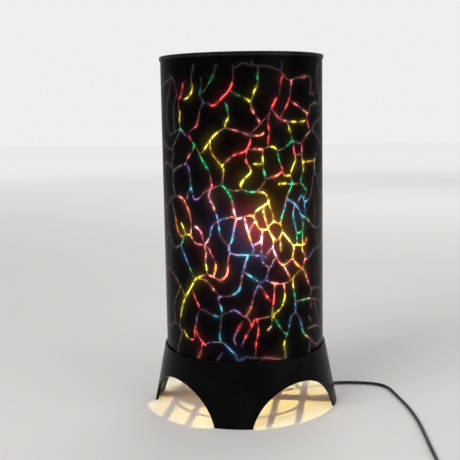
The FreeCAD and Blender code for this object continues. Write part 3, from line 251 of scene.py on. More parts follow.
# The cracks of the print, each as places on it: millimetres round the tube from its front, and up
# from the table, by turns.
CRACKS = [
    # top left
    [-43, 309, -47, 307, -48, 302, -50, 297, -53, 292, -54, 287, -52, 281, -53, 275, -52, 267],
    [-53, 292, -56, 298, -58, 306, -62, 312, -68, 316],
    [-48, 293, -43, 294, -38, 298, -36, 303, -37, 309, -36, 315, -34, 323],
    [-59, 265, -52, 267, -47, 263, -40, 259],
    [-52, 267, -55, 262, -59, 257, -65, 249, -63, 245, -67, 238, -65, 228, -66, 218, -62, 206],
    [-40, 259, -41, 264, -37, 267, -33, 269, -31, 273, -28, 285, -25, 290, -29, 297],
    [-40, 259, -35, 253, -32, 249, -26, 238, -21, 231, -19, 223, -18, 217, -20, 214],
    [-35, 253, -38, 247, -42, 243, -46, 236],
    [-65, 228, -61, 231, -51, 235, -46, 236, -43, 234, -41, 228, -40, 215, -38, 209, -37, 205, -33, 205,
     -30, 207, -25, 212, -20, 214], [-40, 215, -44, 209, -45, 205],
    [-86, 234, -78, 236, -72, 235, -66, 232], [-65, 249, -72, 249, -78, 251, -84, 254, -93, 255],
    [-59, 265, -70, 262, -74, 270, -76, 278, -75, 288, -70, 299, -67, 305, -65, 312],
    [-62, 263, -61, 272, -62, 281, -60, 291, -56, 298],
    [-88, 194, -82, 196, -75, 200, -69, 204, -62, 206, -56, 206, -50, 204, -47, 200, -44, 195, -41, 186,
     -41, 178, -42, 172], [-70, 204, -68, 198, -64, 190, -61, 178, -58, 173, -53, 169],
    # top middle
    [-25, 290, -20, 289, -16, 287, -12, 289, -7, 294, -1, 300, 2, 307, 3, 315, 3, 321],
    [-29, 297, -24, 300, -18, 308, -15, 313, -12, 322], [-29, 297, -27, 303, -27, 311],
    [1, 299, 6, 296, 15, 292, 18, 289], [18, 289, 21, 299, 24, 305, 24, 313, 25, 321],
    [18, 289, 19, 283, 22, 278, 25, 273, 27, 271],
    [17, 262, 22, 267, 31, 276, 35, 281, 40, 291, 44, 297, 46, 309, 49, 312, 52, 309, 57, 308],
    [57, 308, 61, 310, 71, 311, 76, 312, 81, 311, 83, 304, 81, 297, 88, 297],
    [-5, 290, -3, 286, -2, 277, -5, 271, -5, 268, -12, 264, -19, 257, -25, 249, -30, 244],
    [-5, 268, 2, 266, 9, 264, 17, 261, 26, 261, 29, 263],
    [17, 261, 17, 256, 14, 249, 9, 246, 4, 245, -2, 241, -8, 235],
    [14, 249, 20, 249, 28, 249, 34, 251, 39, 250, 42, 246], [35, 281, 33, 272, 34, 264, 33, 257, 33, 251],
    [-19, 257, -19, 251, -17, 245, -13, 240, -8, 234, -7, 229, -8, 223, -9, 218],
    [-20, 214, -13, 217, -9, 218, -5, 214, -1, 208, 1, 200, 2, 194, 4, 188],
    [-4, 214, 3, 213, 10, 214, 15, 212, 28, 211, 32, 206, 33, 201, 35, 195, 37, 190, 38, 185, 44, 182,
     46, 175], [9, 214, 8, 218, 12, 224, 17, 229, 16, 234, 13, 239, 14, 249],
    [22, 212, 27, 217, 30, 223, 28, 235, 28, 249], [20, 236, 28, 236],
    [30, 223, 36, 224, 42, 226, 47, 230, 45, 234, 42, 246, 48, 249, 54, 253, 57, 257, 54, 266, 52, 272],
    [5, 319, 11, 323, 19, 321, 33, 320, 40, 318, 45, 316, 49, 312], [19, 321, 19, 324],
    [46, 315, 47, 323],
    # top right
    [43, 218, 49, 218, 57, 217, 63, 217, 68, 217, 71, 214, 75, 210, 73, 206, 71, 203, 72, 200, 73, 191],
    [46, 229, 49, 225, 55, 225], [45, 276, 48, 281, 54, 291, 56, 302, 57, 308],
    [54, 291, 60, 288, 73, 281, 78, 279, 81, 280],
    [37, 283, 40, 279, 44, 275, 50, 273, 58, 272, 70, 272, 74, 273], [77, 279, 76, 274, 78, 269, 81, 263],
    [57, 255, 62, 254, 68, 253, 76, 260, 84, 264, 90, 261, 96, 257],
    [84, 264, 88, 268, 94, 272, 101, 273],
    [59, 254, 59, 247, 61, 239, 57, 231, 55, 225, 57, 218, 55, 213, 51, 206, 49, 198, 45, 187, 44, 182],
    [69, 253, 69, 241, 71, 229, 69, 225, 67, 218], [60, 243, 69, 243],
    [70, 236, 77, 236, 90, 237, 92, 243], [90, 237, 89, 226, 86, 219, 82, 206, 77, 201, 72, 200],
    [89, 226, 94, 222, 97, 215, 101, 208],
    [51, 204, 57, 201, 60, 199, 65, 193, 68, 188, 75, 185, 82, 179, 87, 176, 93, 174, 99, 175],
    [60, 199, 58, 192, 58, 187, 61, 176, 62, 170, 62, 162], [64, 201, 66, 204, 69, 206, 71, 203],
    [79, 279, 82, 286, 90, 288, 98, 287],
    # middle left
    [-54, 182, -51, 178, -48, 173, -42, 172],
    [-48, 173, -51, 170, -52, 166, -55, 161, -52, 156, -45, 144, -42, 139, -39, 134],
    [-55, 161, -60, 160, -64, 158, -68, 160, -72, 165, -76, 170, -82, 168, -90, 165, -100, 163],
    [-76, 170, -79, 176, -81, 184, -82, 190, -80, 197], [-42, 172, -39, 168, -36, 165, -27, 164],
    [-36, 180, -32, 178, -29, 173, -27, 164],
    [-24, 138, -29, 136, -34, 134, -38, 131, -42, 125, -50, 114, -54, 107, -58, 95, -60, 84],
    [-36, 133, -32, 133, -26, 132, -22, 129, -19, 125, -12, 118],
    [-74, 163, -75, 153, -75, 137, -69, 133, -58, 124, -54, 119, -50, 114],
    [-58, 124, -61, 117, -66, 110, -70, 103, -69, 95, -68, 88, -64, 86, -60, 84],
    [-75, 137, -82, 137, -93, 134], [-68, 88, -74, 84, -80, 82, -90, 81, -101, 79],
    [-60, 84, -57, 80, -59, 74, -62, 67, -65, 59],
    [-58, 81, -54, 82, -51, 79, -48, 76, -43, 75, -40, 77, -39, 86, -35, 79, -28, 72],
    [-31, 73, -33, 65, -36, 58], [-39, 86, -37, 94, -36, 99, -33, 105, -37, 113, -39, 117, -41, 121],
    [-33, 105, -27, 104, -21, 101, -17, 100, -12, 99],
    # middle
    [-27, 164, -24, 167, -21, 172, -20, 177, -18, 182, -13, 186, -5, 189, 0, 190, 4, 188],
    [-20, 214, -21, 207, -17, 199, -14, 191, -13, 186, -12, 180, -11, 174, -9, 170, -3, 164],
    [4, 188, 2, 181, 0, 170, -3, 164, -3, 160, -2, 157],
    [-27, 164, -25, 157, -26, 150, -25, 144, -24, 138, -19, 136, -12, 133, -8, 135, -5, 140, -4, 152,
     -2, 157, 4, 156, 14, 156], [-18, 136, -16, 143, -16, 149, -20, 156, -22, 161, -27, 164],
    [14, 156, 12, 151, 10, 144, 8, 136, 6, 126, 3, 122, -3, 119, -12, 118, -14, 115, -11, 107, -11, 102],
    [4, 188, 8, 189, 15, 191, 19, 190, 21, 186, 23, 180, 27, 178, 32, 179, 30, 186, 28, 195, 29, 200],
    [33, 202, 26, 198, 22, 195, 19, 190], [11, 189, 12, 184, 14, 176, 17, 166, 19, 162, 18, 157],
    [15, 177, 17, 181, 20, 185], [20, 165, 24, 167, 26, 169],
    [27, 178, 26, 169, 26, 157, 27, 149, 30, 146, 33, 144, 36, 147, 37, 150, 39, 151],
    [14, 156, 18, 156, 21, 155, 26, 155, 30, 153], [33, 144, 31, 138, 29, 133, 24, 131, 18, 135, 10, 141],
    [25, 131, 22, 127, 19, 121, 17, 113, 14, 105, 10, 100, 6, 103, 1, 106, -5, 104, -11, 101],
    [23, 129, 27, 124, 29, 120, 33, 114],
    [29, 133, 33, 131, 38, 129, 46, 128, 54, 130, 58, 133, 64, 137, 70, 140],
    [38, 129, 37, 115, 36, 108, 35, 100, 35, 94, 34, 90, 31, 87],
    [47, 128, 48, 121, 48, 115, 46, 110, 44, 106, 35, 100, 24, 98, 19, 97, 16, 91],
    [11, 101, 14, 97, 16, 91, 13, 86, 9, 78, 7, 73], [8, 96, 4, 89, 1, 83, 0, 79, 2, 74],
    [21, 97, 22, 91, 22, 85, 20, 75, 19, 62], [-11, 102, -12, 93, -13, 81, -12, 76],
    [-28, 72, -23, 75, -13, 76, -9, 75, -4, 70, 1, 65, 4, 60, 11, 63, 18, 62, 32, 61, 48, 57],
    [-11, 66, -14, 62, -16, 59], [24, 62, 25, 57],
    # middle right
    [32, 179, 34, 175, 37, 170, 40, 168, 43, 169, 46, 175], [43, 170, 44, 165, 44, 158],
    [37, 170, 37, 164, 36, 161], [31, 156, 34, 160, 36, 161, 39, 155, 41, 150, 46, 145, 50, 146, 57, 150],
    [38, 185, 34, 182, 32, 179], [47, 145, 49, 141, 53, 134, 54, 130],
    [46, 175, 52, 168, 58, 161, 58, 156, 57, 150, 63, 143, 71, 137, 76, 128, 80, 121, 83, 118, 94, 118,
     107, 113], [58, 161, 62, 162, 69, 161, 69, 168, 70, 176, 70, 181, 68, 188],
    [70, 176, 67, 173, 62, 172], [69, 161, 73, 162, 75, 166],
    [69, 161, 69, 156, 72, 152, 73, 149, 71, 144, 70, 139], [73, 147, 78, 148, 84, 152, 90, 155, 99, 155],
    [93, 174, 94, 166, 96, 155], [83, 119, 81, 111, 82, 101],
    # bottom right
    [58, 133, 57, 127, 59, 116, 60, 105, 60, 100, 64, 95, 67, 88, 69, 81, 73, 76, 78, 73, 86, 66],
    [60, 110, 66, 110, 77, 110, 82, 109, 91, 107],
    [60, 100, 55, 97, 53, 91, 52, 86, 50, 81, 46, 84, 43, 88, 40, 93, 36, 100],
    [50, 81, 47, 72, 48, 64, 48, 57], [80, 69, 78, 59], [78, 93, 82, 88],
    [88, 105, 92, 97, 95, 90, 99, 81, 88, 82, 77, 82],
]

# The cracks that join the two repeats of the print, on the lamp's sides.
SIDE_CRACKS = [
    [101, 273, 108, 276, 114, 282, 122, 284, 130, 280, 136, 272, 141, 263, 146, 255],
    [98, 287, 104, 292, 108, 300, 115, 305, 124, 307, 133, 303, 142, 301, 152, 306, 174, 312],
    [114, 282, 113, 292, 115, 305], [96, 257, 103, 252, 112, 250, 121, 254, 128, 262, 136, 272],
    [112, 250, 114, 241, 112, 232, 106, 224, 96, 218],
    [101, 208, 108, 204, 117, 203, 126, 208, 131, 216, 138, 222, 153, 234],
    [112, 232, 121, 230, 131, 232, 140, 238, 146, 246, 146, 255],
    [117, 203, 119, 194, 114, 185, 106, 178, 99, 175], [119, 194, 128, 189, 137, 188, 145, 191, 151, 194],
    [99, 155, 107, 159, 115, 166, 120, 176, 119, 185, 119, 194],
    [107, 159, 114, 152, 123, 149, 131, 154, 139, 163],
    [123, 149, 124, 139, 131, 132, 139, 131, 146, 134], [107, 113, 112, 120, 117, 129, 124, 139],
    [91, 107, 99, 104, 107, 98, 115, 97, 123, 101, 131, 108, 141, 112],
    [107, 113, 107, 98, 106, 89, 99, 81, 108, 77, 118, 76, 128, 80, 138, 79], [118, 76, 121, 68, 119, 60],
    [86, 66, 94, 63, 103, 66, 108, 77], [133, 303, 134, 314, 140, 324],
    [104, 292, 97, 303, 95, 314, 99, 324],
]

# The film's strong colours: how bright each glows before the bulb, and its patches, along the
# stretches of the cracks that show them.
FILM_PATCHES = {
    "red": ((0.78, 0.07, 0.07), [
        [-48, 307, -48, 301, -52, 294], [-40, 261, -39, 258], [-16, 287, -10, 291, -1, 300, 2, 306],
        [36, 283, 41, 293], [45, 304, 46, 311, 49, 312], [54, 293, 50, 285], [76, 274, 79, 267],
        [33, 271, 33, 266], [33, 259, 33, 255], [59, 249, 60, 243], [69, 250, 69, 245],
        [16, 255, 15, 251], [14, 249, 9, 246, 2, 244], [13, 241, 14, 238], [47, 231, 42, 227],
        [42, 148, 44, 146], [28, 122, 31, 117], [37, 119, 36, 111], [-34, 111, -35, 108],
        [-39, 118, -38, 115], [22, 97, 17, 94, 16, 90], [6, 92, 4, 88], [22, 88, 22, 83],
        [12, 84, 10, 81], [-39, 87, -35, 79, -28, 72], [20, 76, 20, 71], [-44, 75, -41, 75],
        [-33, 67, -34, 61], [36, 61, 39, 60],
    ]),
    "pink": ((0.74, 0.15, 0.17), [
        [-33, 66, -36, 56], [28, 62, 38, 60], [11, 263, 16, 262], [4, 187, 3, 184], [57, 308, 56, 303],
        [69, 311, 75, 312], [24, 275, 26, 272], [40, 280, 44, 275, 50, 273], [2, 267, 5, 265],
        [11, 264, 14, 262], [-42, 244, -41, 242], [-34, 269, -31, 272], [-19, 219, -20, 213],
        [-21, 208, -20, 205], [1, 203, 1, 200], [-36, 166, -30, 164], [-31, 178, -29, 172],
        [20, 165, 25, 168], [26, 178, 26, 173], [50, 146, 54, 148], [60, 288, 64, 286],
    ]),
    "ruby": ((0.36, 0.07, 0.09), [
        [-25, 162, -25, 157], [-22, 161, -18, 154], [-27, 165, -26, 160],
    ]),
    "salmon": ((0.88, 0.24, 0.15), [
        [19, 284, 20, 281], [23, 261, 29, 262], [21, 249, 27, 249], [36, 224, 42, 226],
        [-78, 199, -71, 204], [-57, 206, -52, 205, -45, 197], [-45, 196, -42, 187], [-82, 197, -76, 200],
        [-42, 176, -40, 169], [31, 156, 33, 159], [-4, 147, -4, 143, -7, 136], [51, 138, 53, 134],
        [-20, 127, -18, 124], [36, 130, 40, 128], [-2, 241, -5, 239], [-29, 133, -24, 132],
        [15, 177, 17, 181, 20, 186], [-22, 136, -18, 136], [-13, 133, -8, 135], [16, 109, 13, 102],
        [-25, 159, -26, 151], [73, 134, 77, 126], [72, 282, 77, 279], [48, 129, 47, 124],
        [70, 155, 73, 150, 72, 144],
    ]),
    "orange": ((0.90, 0.30, 0.06), [
        [16, 191, 19, 190, 21, 186, 23, 180, 27, 178], [29, 190, 31, 184, 32, 180], [41, 169, 45, 174],
        [-62, 186, -60, 177, -54, 171], [33, 177, 36, 172], [15, 174, 16, 170],
        [75, 167, 72, 161, 69, 158, 70, 154], [58, 157, 57, 150, 64, 142, 70, 138, 74, 132],
        [-16, 146, -17, 139],
    ]),
    "yellow": ((0.80, 0.64, 0.06), [
        [-44, 294, -41, 295, -37, 300, -37, 305], [-52, 282, -53, 274], [13, 293, 17, 290],
        [20, 297, 23, 303], [-3, 275, -5, 271], [57, 272, 61, 272], [67, 272, 72, 272],
        [54, 268, 54, 263], [-12, 264, -19, 257, -25, 249], [36, 250, 40, 250], [28, 241, 28, 237],
        [-11, 238, -7, 231], [61, 239, 56, 228], [70, 238, 71, 229], [21, 236, 25, 236],
        [17, 229, 11, 223, 8, 218], [49, 225, 54, 225], [43, 218, 49, 218],
        [-54, 182, -49, 175, -44, 172], [-48, 174, -51, 169], [69, 165, 69, 162, 61, 162],
        [-25, 147, -25, 142], [-30, 136, -37, 131, -46, 120, -54, 107, -58, 95], [48, 118, 45, 109],
        [41, 104, 35, 100], [-54, 82, -49, 77], [46, 74, 48, 69],
    ]),
    "green": ((0.02, 0.32, 0.11), [
        [-18, 308, -15, 313], [24, 314, 24, 310], [-28, 302, -28, 299], [5, 296, 8, 295],
        [-3, 288, -3, 284], [-53, 267, -50, 265], [58, 257, 52, 252], [-36, 254, -35, 250],
        [-29, 242, -22, 232], [42, 243, 43, 239], [29, 230, 29, 225], [68, 224, 67, 221],
        [57, 220, 53, 211], [-9, 218, -2, 210, 0, 205], [70, 216, 75, 211], [12, 212, 19, 212],
        [46, 190, 45, 186], [72, 186, 77, 184], [70, 182, 70, 174, 69, 167],
        [69, 175, 66, 173, 61, 171, 62, 165], [-51, 170, -53, 165], [-43, 141, -42, 137],
        [58, 119, 59, 113], [68, 110, 74, 110], [39, 95, 42, 90], [50, 83, 49, 80], [68, 83, 71, 79],
    ]),
    "cyan": ((0.05, 0.27, 0.36), [
        [-41, 217, -39, 212], [65, 204, 69, 206, 72, 202], [72, 200, 78, 200], [53, 203, 58, 200],
        [65, 191, 69, 187, 73, 187], [49, 198, 48, 192], [58, 192, 58, 187, 61, 177],
        [-12, 182, -12, 176], [0, 173, -1, 167], [7, 156, 14, 156, 13, 152], [14, 138, 21, 133],
        [6, 126, 1, 121], [-10, 110, -11, 105], [-19, 101, -15, 100], [-13, 84, -13, 78],
    ]),
    "blue": ((0.06, 0.16, 0.32), [
        [1, 64, 4, 61, 10, 62], [58, 201, 63, 196, 66, 191], [72, 197, 73, 190], [-14, 192, -14, 187],
        [17, 166, 19, 162, 18, 156], [-54, 164, -54, 159, -46, 146], [60, 108, 60, 102], [54, 95, 52, 88],
        [65, 92, 67, 85], [-8, 74, 0, 66, 3, 62],
    ]),
    "violet": ((0.15, 0.10, 0.23), [
        [-25, 290, -25, 287], [-49, 264, -45, 262], [-47, 236, -41, 227], [-38, 207, -32, 205],
        [-44, 209, -45, 206], [31, 146, 36, 147], [23, 129, 20, 122], [-12, 118, -15, 115],
        [-2, 105, 5, 104],
    ]),
    "indigo": ((0.085, 0.10, 0.24), [
        [-12, 185, -5, 189], [2, 182, 1, 176], [-22, 172, -17, 184], [-4, 165, -2, 157],
        [22, 155, 26, 155, 32, 152], [26, 158, 26, 153, 27, 148], [10, 151, 10, 143, 9, 139],
        [33, 135, 29, 133, 23, 131], [2, 156, 8, 156],
    ]),
    "mauve": ((0.08, 0.035, 0.085), [
        [-31, 105, -22, 103], [-37, 99, -36, 89], [1, 85, 0, 75], [-26, 74, -19, 76], [8, 77, 7, 73],
        [8, 63, 19, 62], [-12, 66, -16, 59], [74, 148, 88, 154],
    ]),
    "smoke": ((0.050, 0.045, 0.055), [
        [77, 200, 82, 203, 86, 215, 89, 228], [79, 181, 87, 176, 94, 174], [94, 173, 96, 156],
        [-80, 236, -72, 235, -66, 230], [-64, 230, -51, 235], [-65, 227, -66, 216, -63, 208],
        [-78, 169, -70, 163, -56, 161], [-66, 59, -60, 76],
    ]),
    "cream": ((0.36, 0.26, 0.12), [
        [75, 259, 79, 261], [77, 184, 80, 182], [75, 110, 80, 109], [72, 77, 77, 73], [30, 86, 34, 89],
        [38, 60, 50, 56], [48, 65, 48, 58],
    ]),
    "amber": ((0.31, 0.14, 0.004), [
        [34, 202, 35, 195, 38, 187], [40, 183, 44, 182, 46, 178], [-20, 252, -16, 244, -11, 239],
        [31, 211, 34, 207], [72, 236, 88, 236], [55, 131, 66, 138],
    ]),
    "straw": ((1.00, 0.72, 0.16), [
        [45, 145, 48, 145, 50, 147], [24, 212, 29, 211], [34, 205, 27, 198, 21, 195], [28, 200, 29, 192],
        [35, 187, 40, 184], [27, 178, 32, 179], [46, 176, 52, 169, 58, 162, 58, 157],
        [36, 172, 38, 168, 40, 168], [44, 164, 44, 159], [57, 128, 57, 122],
    ]),
    "rose": ((1.00, 0.40, 0.42), [
        [48, 145, 49, 140], [-20, 212, -20, 203], [-37, 180, -32, 178], [-17, 201, -16, 196],
        [1, 197, 2, 193], [5, 188, 10, 189], [11, 187, 14, 179, 15, 175], [26, 173, 26, 165],
        [33, 160, 36, 161, 38, 156, 40, 152], [-24, 168, -23, 166],
    ]),
}


def places(run):
    """The places of a run whose numbers are, by turns, across and up."""
    return list(zip(run[::2], run[1::2]))


def smooth_run(points, spacing):
    """Places about spacing apart on a smooth line through the given ones (Catmull-Rom)."""
    points = [Vector(point) for point in points]
    ends = [2 * points[0] - points[1], *points, 2 * points[-1] - points[-2]]
    run = []
    for before, start, stop, after in zip(ends, ends[1:], ends[2:], ends[3:]):
        count = max(1, round((stop - start).length / spacing))
        for step in range(count):
            t = step / count
            bend = (2 * before - 5 * start + 4 * stop - after) * t * t
            twist = (3 * start - before - 3 * stop + after) * t**3
            run.append((2 * start + (stop - before) * t + bend + twist) / 2)
    return run + [points[-1]]


def search_tree(spots):
    """The places as a tree that finds the nearest of them."""
    tree = kdtree.KDTree(len(spots))
    for i, spot in enumerate(spots):
        tree.insert((*spot, 0.0), i)
    tree.balance()
    return tree


def from_middle(along, radius):
    """How far a place along a rolled sheet is from the middle of its own repeat."""
    half = math.pi * radius
    return (along + half / 2) % half - half / 2


def lump(spot, size, layer):
    """Where a place is in the noise whose lumps have that size."""
    return spot.x / size, spot.y / size, layer


def crack_half_width(spot):
    """Half a crack's width, in millimetres, which swells and thins along the crack."""
    return CRACK_HALF_WIDTH * (1 + CRACK_SWELL * noise.noise(lump(spot, CRACK_SWELL_LENGTH, 0.0)))


def crack_outline(run, margin):
    """A crack's outline round its middle line, anticlockwise, with round ends and a margin."""
    right, left = [], []
    for i, spot in enumerate(run):
        along = (run[min(i + 1, len(run) - 1)] - run[max(i - 1, 0)]).normalized()
        side = Vector((along.y, -along.x)) * (crack_half_width(spot) + margin)
        right.append(spot + side)
        left.append(spot - side)
    outline = []
    for edge, end in ((right, run[-1]), (left[::-1], run[0])):
        outline += edge
        spoke = edge[-1] - end
        for quarter in (1, 2, 3):
            outline.append(end + Matrix.Rotation(math.radians(45 * quarter), 2) @ spoke)
    return outline


def crack_runs(edge):
    """The middle lines of all the cracks, twice round, up to the bare edge beside the seam."""
    runs = []
    half = math.pi * SHADE_RADIUS
    for repeat in (0, -1, 1):
        for crack in CRACKS + SIDE_CRACKS:
            run = smooth_run([(x + repeat * half, z) for x, z in places(crack)], CRACK_STEP)
            run = [spot for spot in run if abs(spot.x) < edge]
            if len(run) > 2:
                runs.append(run)
    return runs


def crack_halo(runs, spots):
    """How near each place is to a crack: 1 at its edge and inside it, 0 beyond the halo."""
    tree = search_tree([spot for run in runs for spot in smooth_run(run, HALO_STEP)])
    gaps = [tree.find((*spot, 0.0))[2] - crack_half_width(spot) for spot in spots]
    return [way(gap, *HALO_FADE) for gap in gaps]


def cracked_sheet(runs, girth, low, high):
    """The flat print: its places, its triangles, and for each triangle whether it is in a crack."""
    spots, edges, outlines = [], [], []

    def line(start, stop):
        spots.extend([Vector(start), Vector(stop)])
        edges.append((len(spots) - 2, len(spots) - 1))

    columns = round(girth / PRINT_COLUMN)
    for i in range(columns + 1):
        across = girth * (i / columns - 0.5)
        line((across, low), (across, high))
    rows = round((high - low) / PRINT_ROW)
    for i in range(rows + 1):
        up = low + (high - low) * i / rows
        line((-girth / 2, up), (girth / 2, up))
    for margin in (0.0, HALO_WIDTH):
        for run in runs:
            outline = crack_outline(run, margin)
            outlines.append(list(range(len(spots), len(spots) + len(outline))))
            spots.extend(outline)
    made = geometry.delaunay_2d_cdt(spots, edges, outlines, 0, PRINT_SNAP, True)
    spots, _, triangles, _, _, sources = made
    opened = [any(outline < len(runs) for outline in source) for source in sources]
    return spots, triangles, opened


def behind(spot):
    """Where the camera's sight line through a place of the print meets the film, if it does.

    The print and the film each repeat twice round the lamp, so the back half is as the front one.
    """
    repeat = round(spot.x / (math.pi * SHADE_RADIUS))
    angle = spot.x / SHADE_RADIUS - math.pi * repeat
    if abs(angle) > GRAZING_TURN:
        return None
    start = Vector((SHADE_RADIUS * math.sin(angle), -SHADE_RADIUS * math.cos(angle), spot.y))
    sight = (start - CAMERA_PLACE).normalized()
    level = sight.x**2 + sight.y**2
    middle = (start.x * sight.x + start.y * sight.y) / level
    inside = middle**2 - (SHADE_RADIUS**2 - DRUM_RADIUS**2) / level
    if inside < 0:
        return None
    met = start + sight * (-middle - math.sqrt(inside))
    turn = math.atan2(met.x, -met.y) + math.pi * repeat
    return Vector((turn * DRUM_RADIUS, met.z))


def side_patches():
    """Patches for the lamp's sides, each a few steps along a side crack, in changing colours."""
    tints = [tint for tint, _ in FILM_PATCHES.values()]
    patches = []
    for crack in SIDE_CRACKS:
        run = smooth_run(places(crack), PATCH_STEP)
        run = [Vector((spot.x * DRUM_RADIUS / SHADE_RADIUS, spot.y)) for spot in run]
        for start in range(1, len(run), SIDE_PATCH_SPACING):
            if SIDE_SPAN[0] < run[start].x < SIDE_SPAN[1]:
                tint = tints[SIDE_COLOUR_STRIDE * len(patches) % len(tints)]
                patches.append((tint, run[start : start + SIDE_PATCH_STEPS]))
    return patches


def film_plan():
    """Places all over the film's patches, twice round, as a tree to search, and each one's tint."""
    placed = side_patches()
    for tint, patches in FILM_PATCHES.values():
        for patch in patches:
            run = smooth_run(places(patch), PATCH_STEP)
            met = [behind(spot) for spot in run[1:-1] or run]
            placed.append((tint, [spot for spot in met if spot]))
    half = math.pi * DRUM_RADIUS
    spots, tints = [], []
    for tint, patch in placed:
        for repeat in (-2, -1, 0, 1, 2):
            spots += [spot + Vector((repeat * half, 0.0)) for spot in patch]
            tints += [Vector(tint)] * len(patch)
    return search_tree(spots), tints


def bulb_nearness(spot, reach):
    """1 straight before the bulb, or behind it, falling to 0 beyond its reach."""
    across = from_middle(spot.x - BULB_GLOW_SPOT[0], DRUM_RADIUS)
    up = spot.y - BULB_GLOW_SPOT[1]
    return math.exp(-(across**2 + up**2) / reach**2)


def film_light(plan, spot):
    """The bulb's light painted as the film's glow at a place: strong in its patches, dim between them."""
    tree, tints = plan
    wander = noise.noise_vector(lump(spot, PATCH_WANDER_LENGTH, 4.0)) * PATCH_WANDER
    _, index, far = tree.find((spot.x + wander.x, spot.y + wander.y, 0.0))
    strong = way(far, PATCH_REACH + PATCH_FADE, PATCH_REACH)
    # Painted light: the film glows brighter near the bulb, with a whitish hot spot there.
    near = bulb_nearness(spot, BULB_GLOW_REACH)
    shift = 0.5 + 0.5 * noise.noise(lump(spot, BARE_LENGTH, 9.0))
    bare = BARE_FILM[0].lerp(BARE_FILM[1], shift) + LIT_FILM * near + tints[index] * PATCH_BLEED
    hot = tints[index].lerp(HOT_COLOUR, HOT_SHARE * near) * (PATCH_LIGHT[0] + PATCH_LIGHT[1] * near)
    # Painted shade: the glow dims towards the film's top, away from the bulb.
    rise = way(spot.y, *TOP_FADE)
    return (bare * (1.0 - TOP_BARE_LOSS * rise)).lerp(hot, strong) * (1.0 - TOP_LOSS * rise)


def print_haze(plan, spot):
    """The light that the film's strong patches throw in the print round a place."""
    tree, tints = plan
    haze = Vector()
    for _, index, far in tree.find_range((spot.x, spot.y, 0.0), 2 * PATCH_HAZE_REACH):
        haze += tints[index] * math.exp(-((far / PATCH_HAZE_REACH) ** 2))
    return haze * PATCH_HAZE_SHARE * bulb_nearness(spot, PATCH_HAZE_FADE)


def plain_share(spot):
    """How much of the painted grey glow a crack has: 0 at the lamp's front and back, 1 at its sides."""
    return way(abs(from_middle(spot.x, SHADE_RADIUS)), *PLAIN_SPAN)


def rolled_sheet(name, radius, thickness, spots, faces, kinds, glow=None):
    """A flat sheet rolled round the lamp's axis, with two sides and cut edges."""
    count = len(spots)
    points, normals = [], []
    for reach, facing in ((radius, 1.0), (radius - thickness, -1.0)):
        for spot in spots:
            angle = spot.x / radius
            outward = Vector((math.sin(angle), -math.cos(angle), 0.0))
            points.append((outward * reach + Vector((0.0, 0.0, spot.y))) * MM)
            normals.append(outward * facing)
    used = {}
    for face in faces:
        for edge in zip(face, face[1:] + face[:1]):
            key = frozenset(edge)
            used[key] = None if key in used else edge
    rims = [(b, a, a + count, b + count) for a, b in (edge for edge in used.values() if edge)]
    inner = [[corner + count for corner in reversed(face)] for face in faces]
    mesh = bpy.data.meshes.new(name)
    mesh.from_pydata(points, [], [*faces, *inner, *rims])
    mesh.polygons.foreach_set("material_index", [*kinds, *kinds, *([0] * len(rims))])
    mesh.polygons.foreach_set("use_smooth", [True] * len(mesh.polygons))
    sides = 2 * len(faces)
    loops = [
        normals[v] if face.index < sides else Vector()
        for face in mesh.polygons
        for v in face.vertices
    ]
    mesh.normals_split_custom_set(loops)
    if glow:
        layer = mesh.color_attributes.new("glow", "FLOAT_COLOR", "POINT")
        layer.data.foreach_set("color", [value for colour in glow * 2 for value in (*colour, 1.0)])
    return put(name, mesh)


def grid_sheet(left, right, low, high, columns, rows):
    """A plain flat sheet's places and faces."""
    spots = [
        Vector((left + (right - left) * i / columns, low + (high - low) * j / rows))
        for j in range(rows + 1)
        for i in range(columns + 1)
    ]
    wide = columns + 1
    faces = [
        [j * wide + i, j * wide + i + 1, (j + 1) * wide + i + 1, (j + 1) * wide + i]
        for j in range(rows)
        for i in range(columns)
    ]
    return spots, faces


def heights(node):
    """A CAD node's bottom and top."""
    return [corner[2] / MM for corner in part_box(node)]


def finish_piece(piece, body, slot, *materials):
    for material in materials:
        piece.data.materials.append(material)
    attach(piece, body)


def lap_strip(name, span, radius, thickness, lap, material, body, slot):
    """The strip of a rolled sheet that laps inside its own edge, at the back."""
    half = math.pi * radius
    width, inset = lap
    left, right = half - width / 2, half + width / 2
    spots, faces = grid_sheet(left, right, span[0] + inset, span[1] - inset, LAP_COLUMNS, 1)
    strip = rolled_sheet(name, radius, thickness, spots, faces, [0] * len(faces))
    finish_piece(strip, body, slot, material)


def roll_shade(plan, black, clear):
    span = heights("shade_sheet")
    film_top = heights("drum_film")[1]
    runs = crack_runs(math.pi * SHADE_RADIUS - PRINT_MARGIN)
    spots, faces, opened = cracked_sheet(runs, 2 * math.pi * SHADE_RADIUS, *span)
    glow = []
    # The light painted on the print: the film's glow behind each crack, its halo and haze, and a plain
    # grey glow where no film shows.
    for spot, halo in zip(spots, crack_halo(runs, spots)):
        met = behind(spot)
        if met and met.y < film_top:
            light = film_light(plan, met) + PLAIN_GLOW * plain_share(spot)
            glow.append(light * halo + print_haze(plan, met))
        else:
            glow.append(PLAIN_GLOW * (PLAIN_TOP_SHARE if met else 1.0) * halo)
    kinds = [int(kind) for kind in opened]
    piece = rolled_sheet("printed_sheet", SHADE_RADIUS, SHEET_THICKNESS, spots, faces, kinds, glow)
    finish_piece(piece, "shade", "shade_print", black, clear)
    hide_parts("shade_sheet")
    inside = SHADE_RADIUS - SHEET_THICKNESS
    lap_strip("sheet_lap", span, inside, SHEET_THICKNESS, SHEET_LAP, black, "shade", "shade_print")


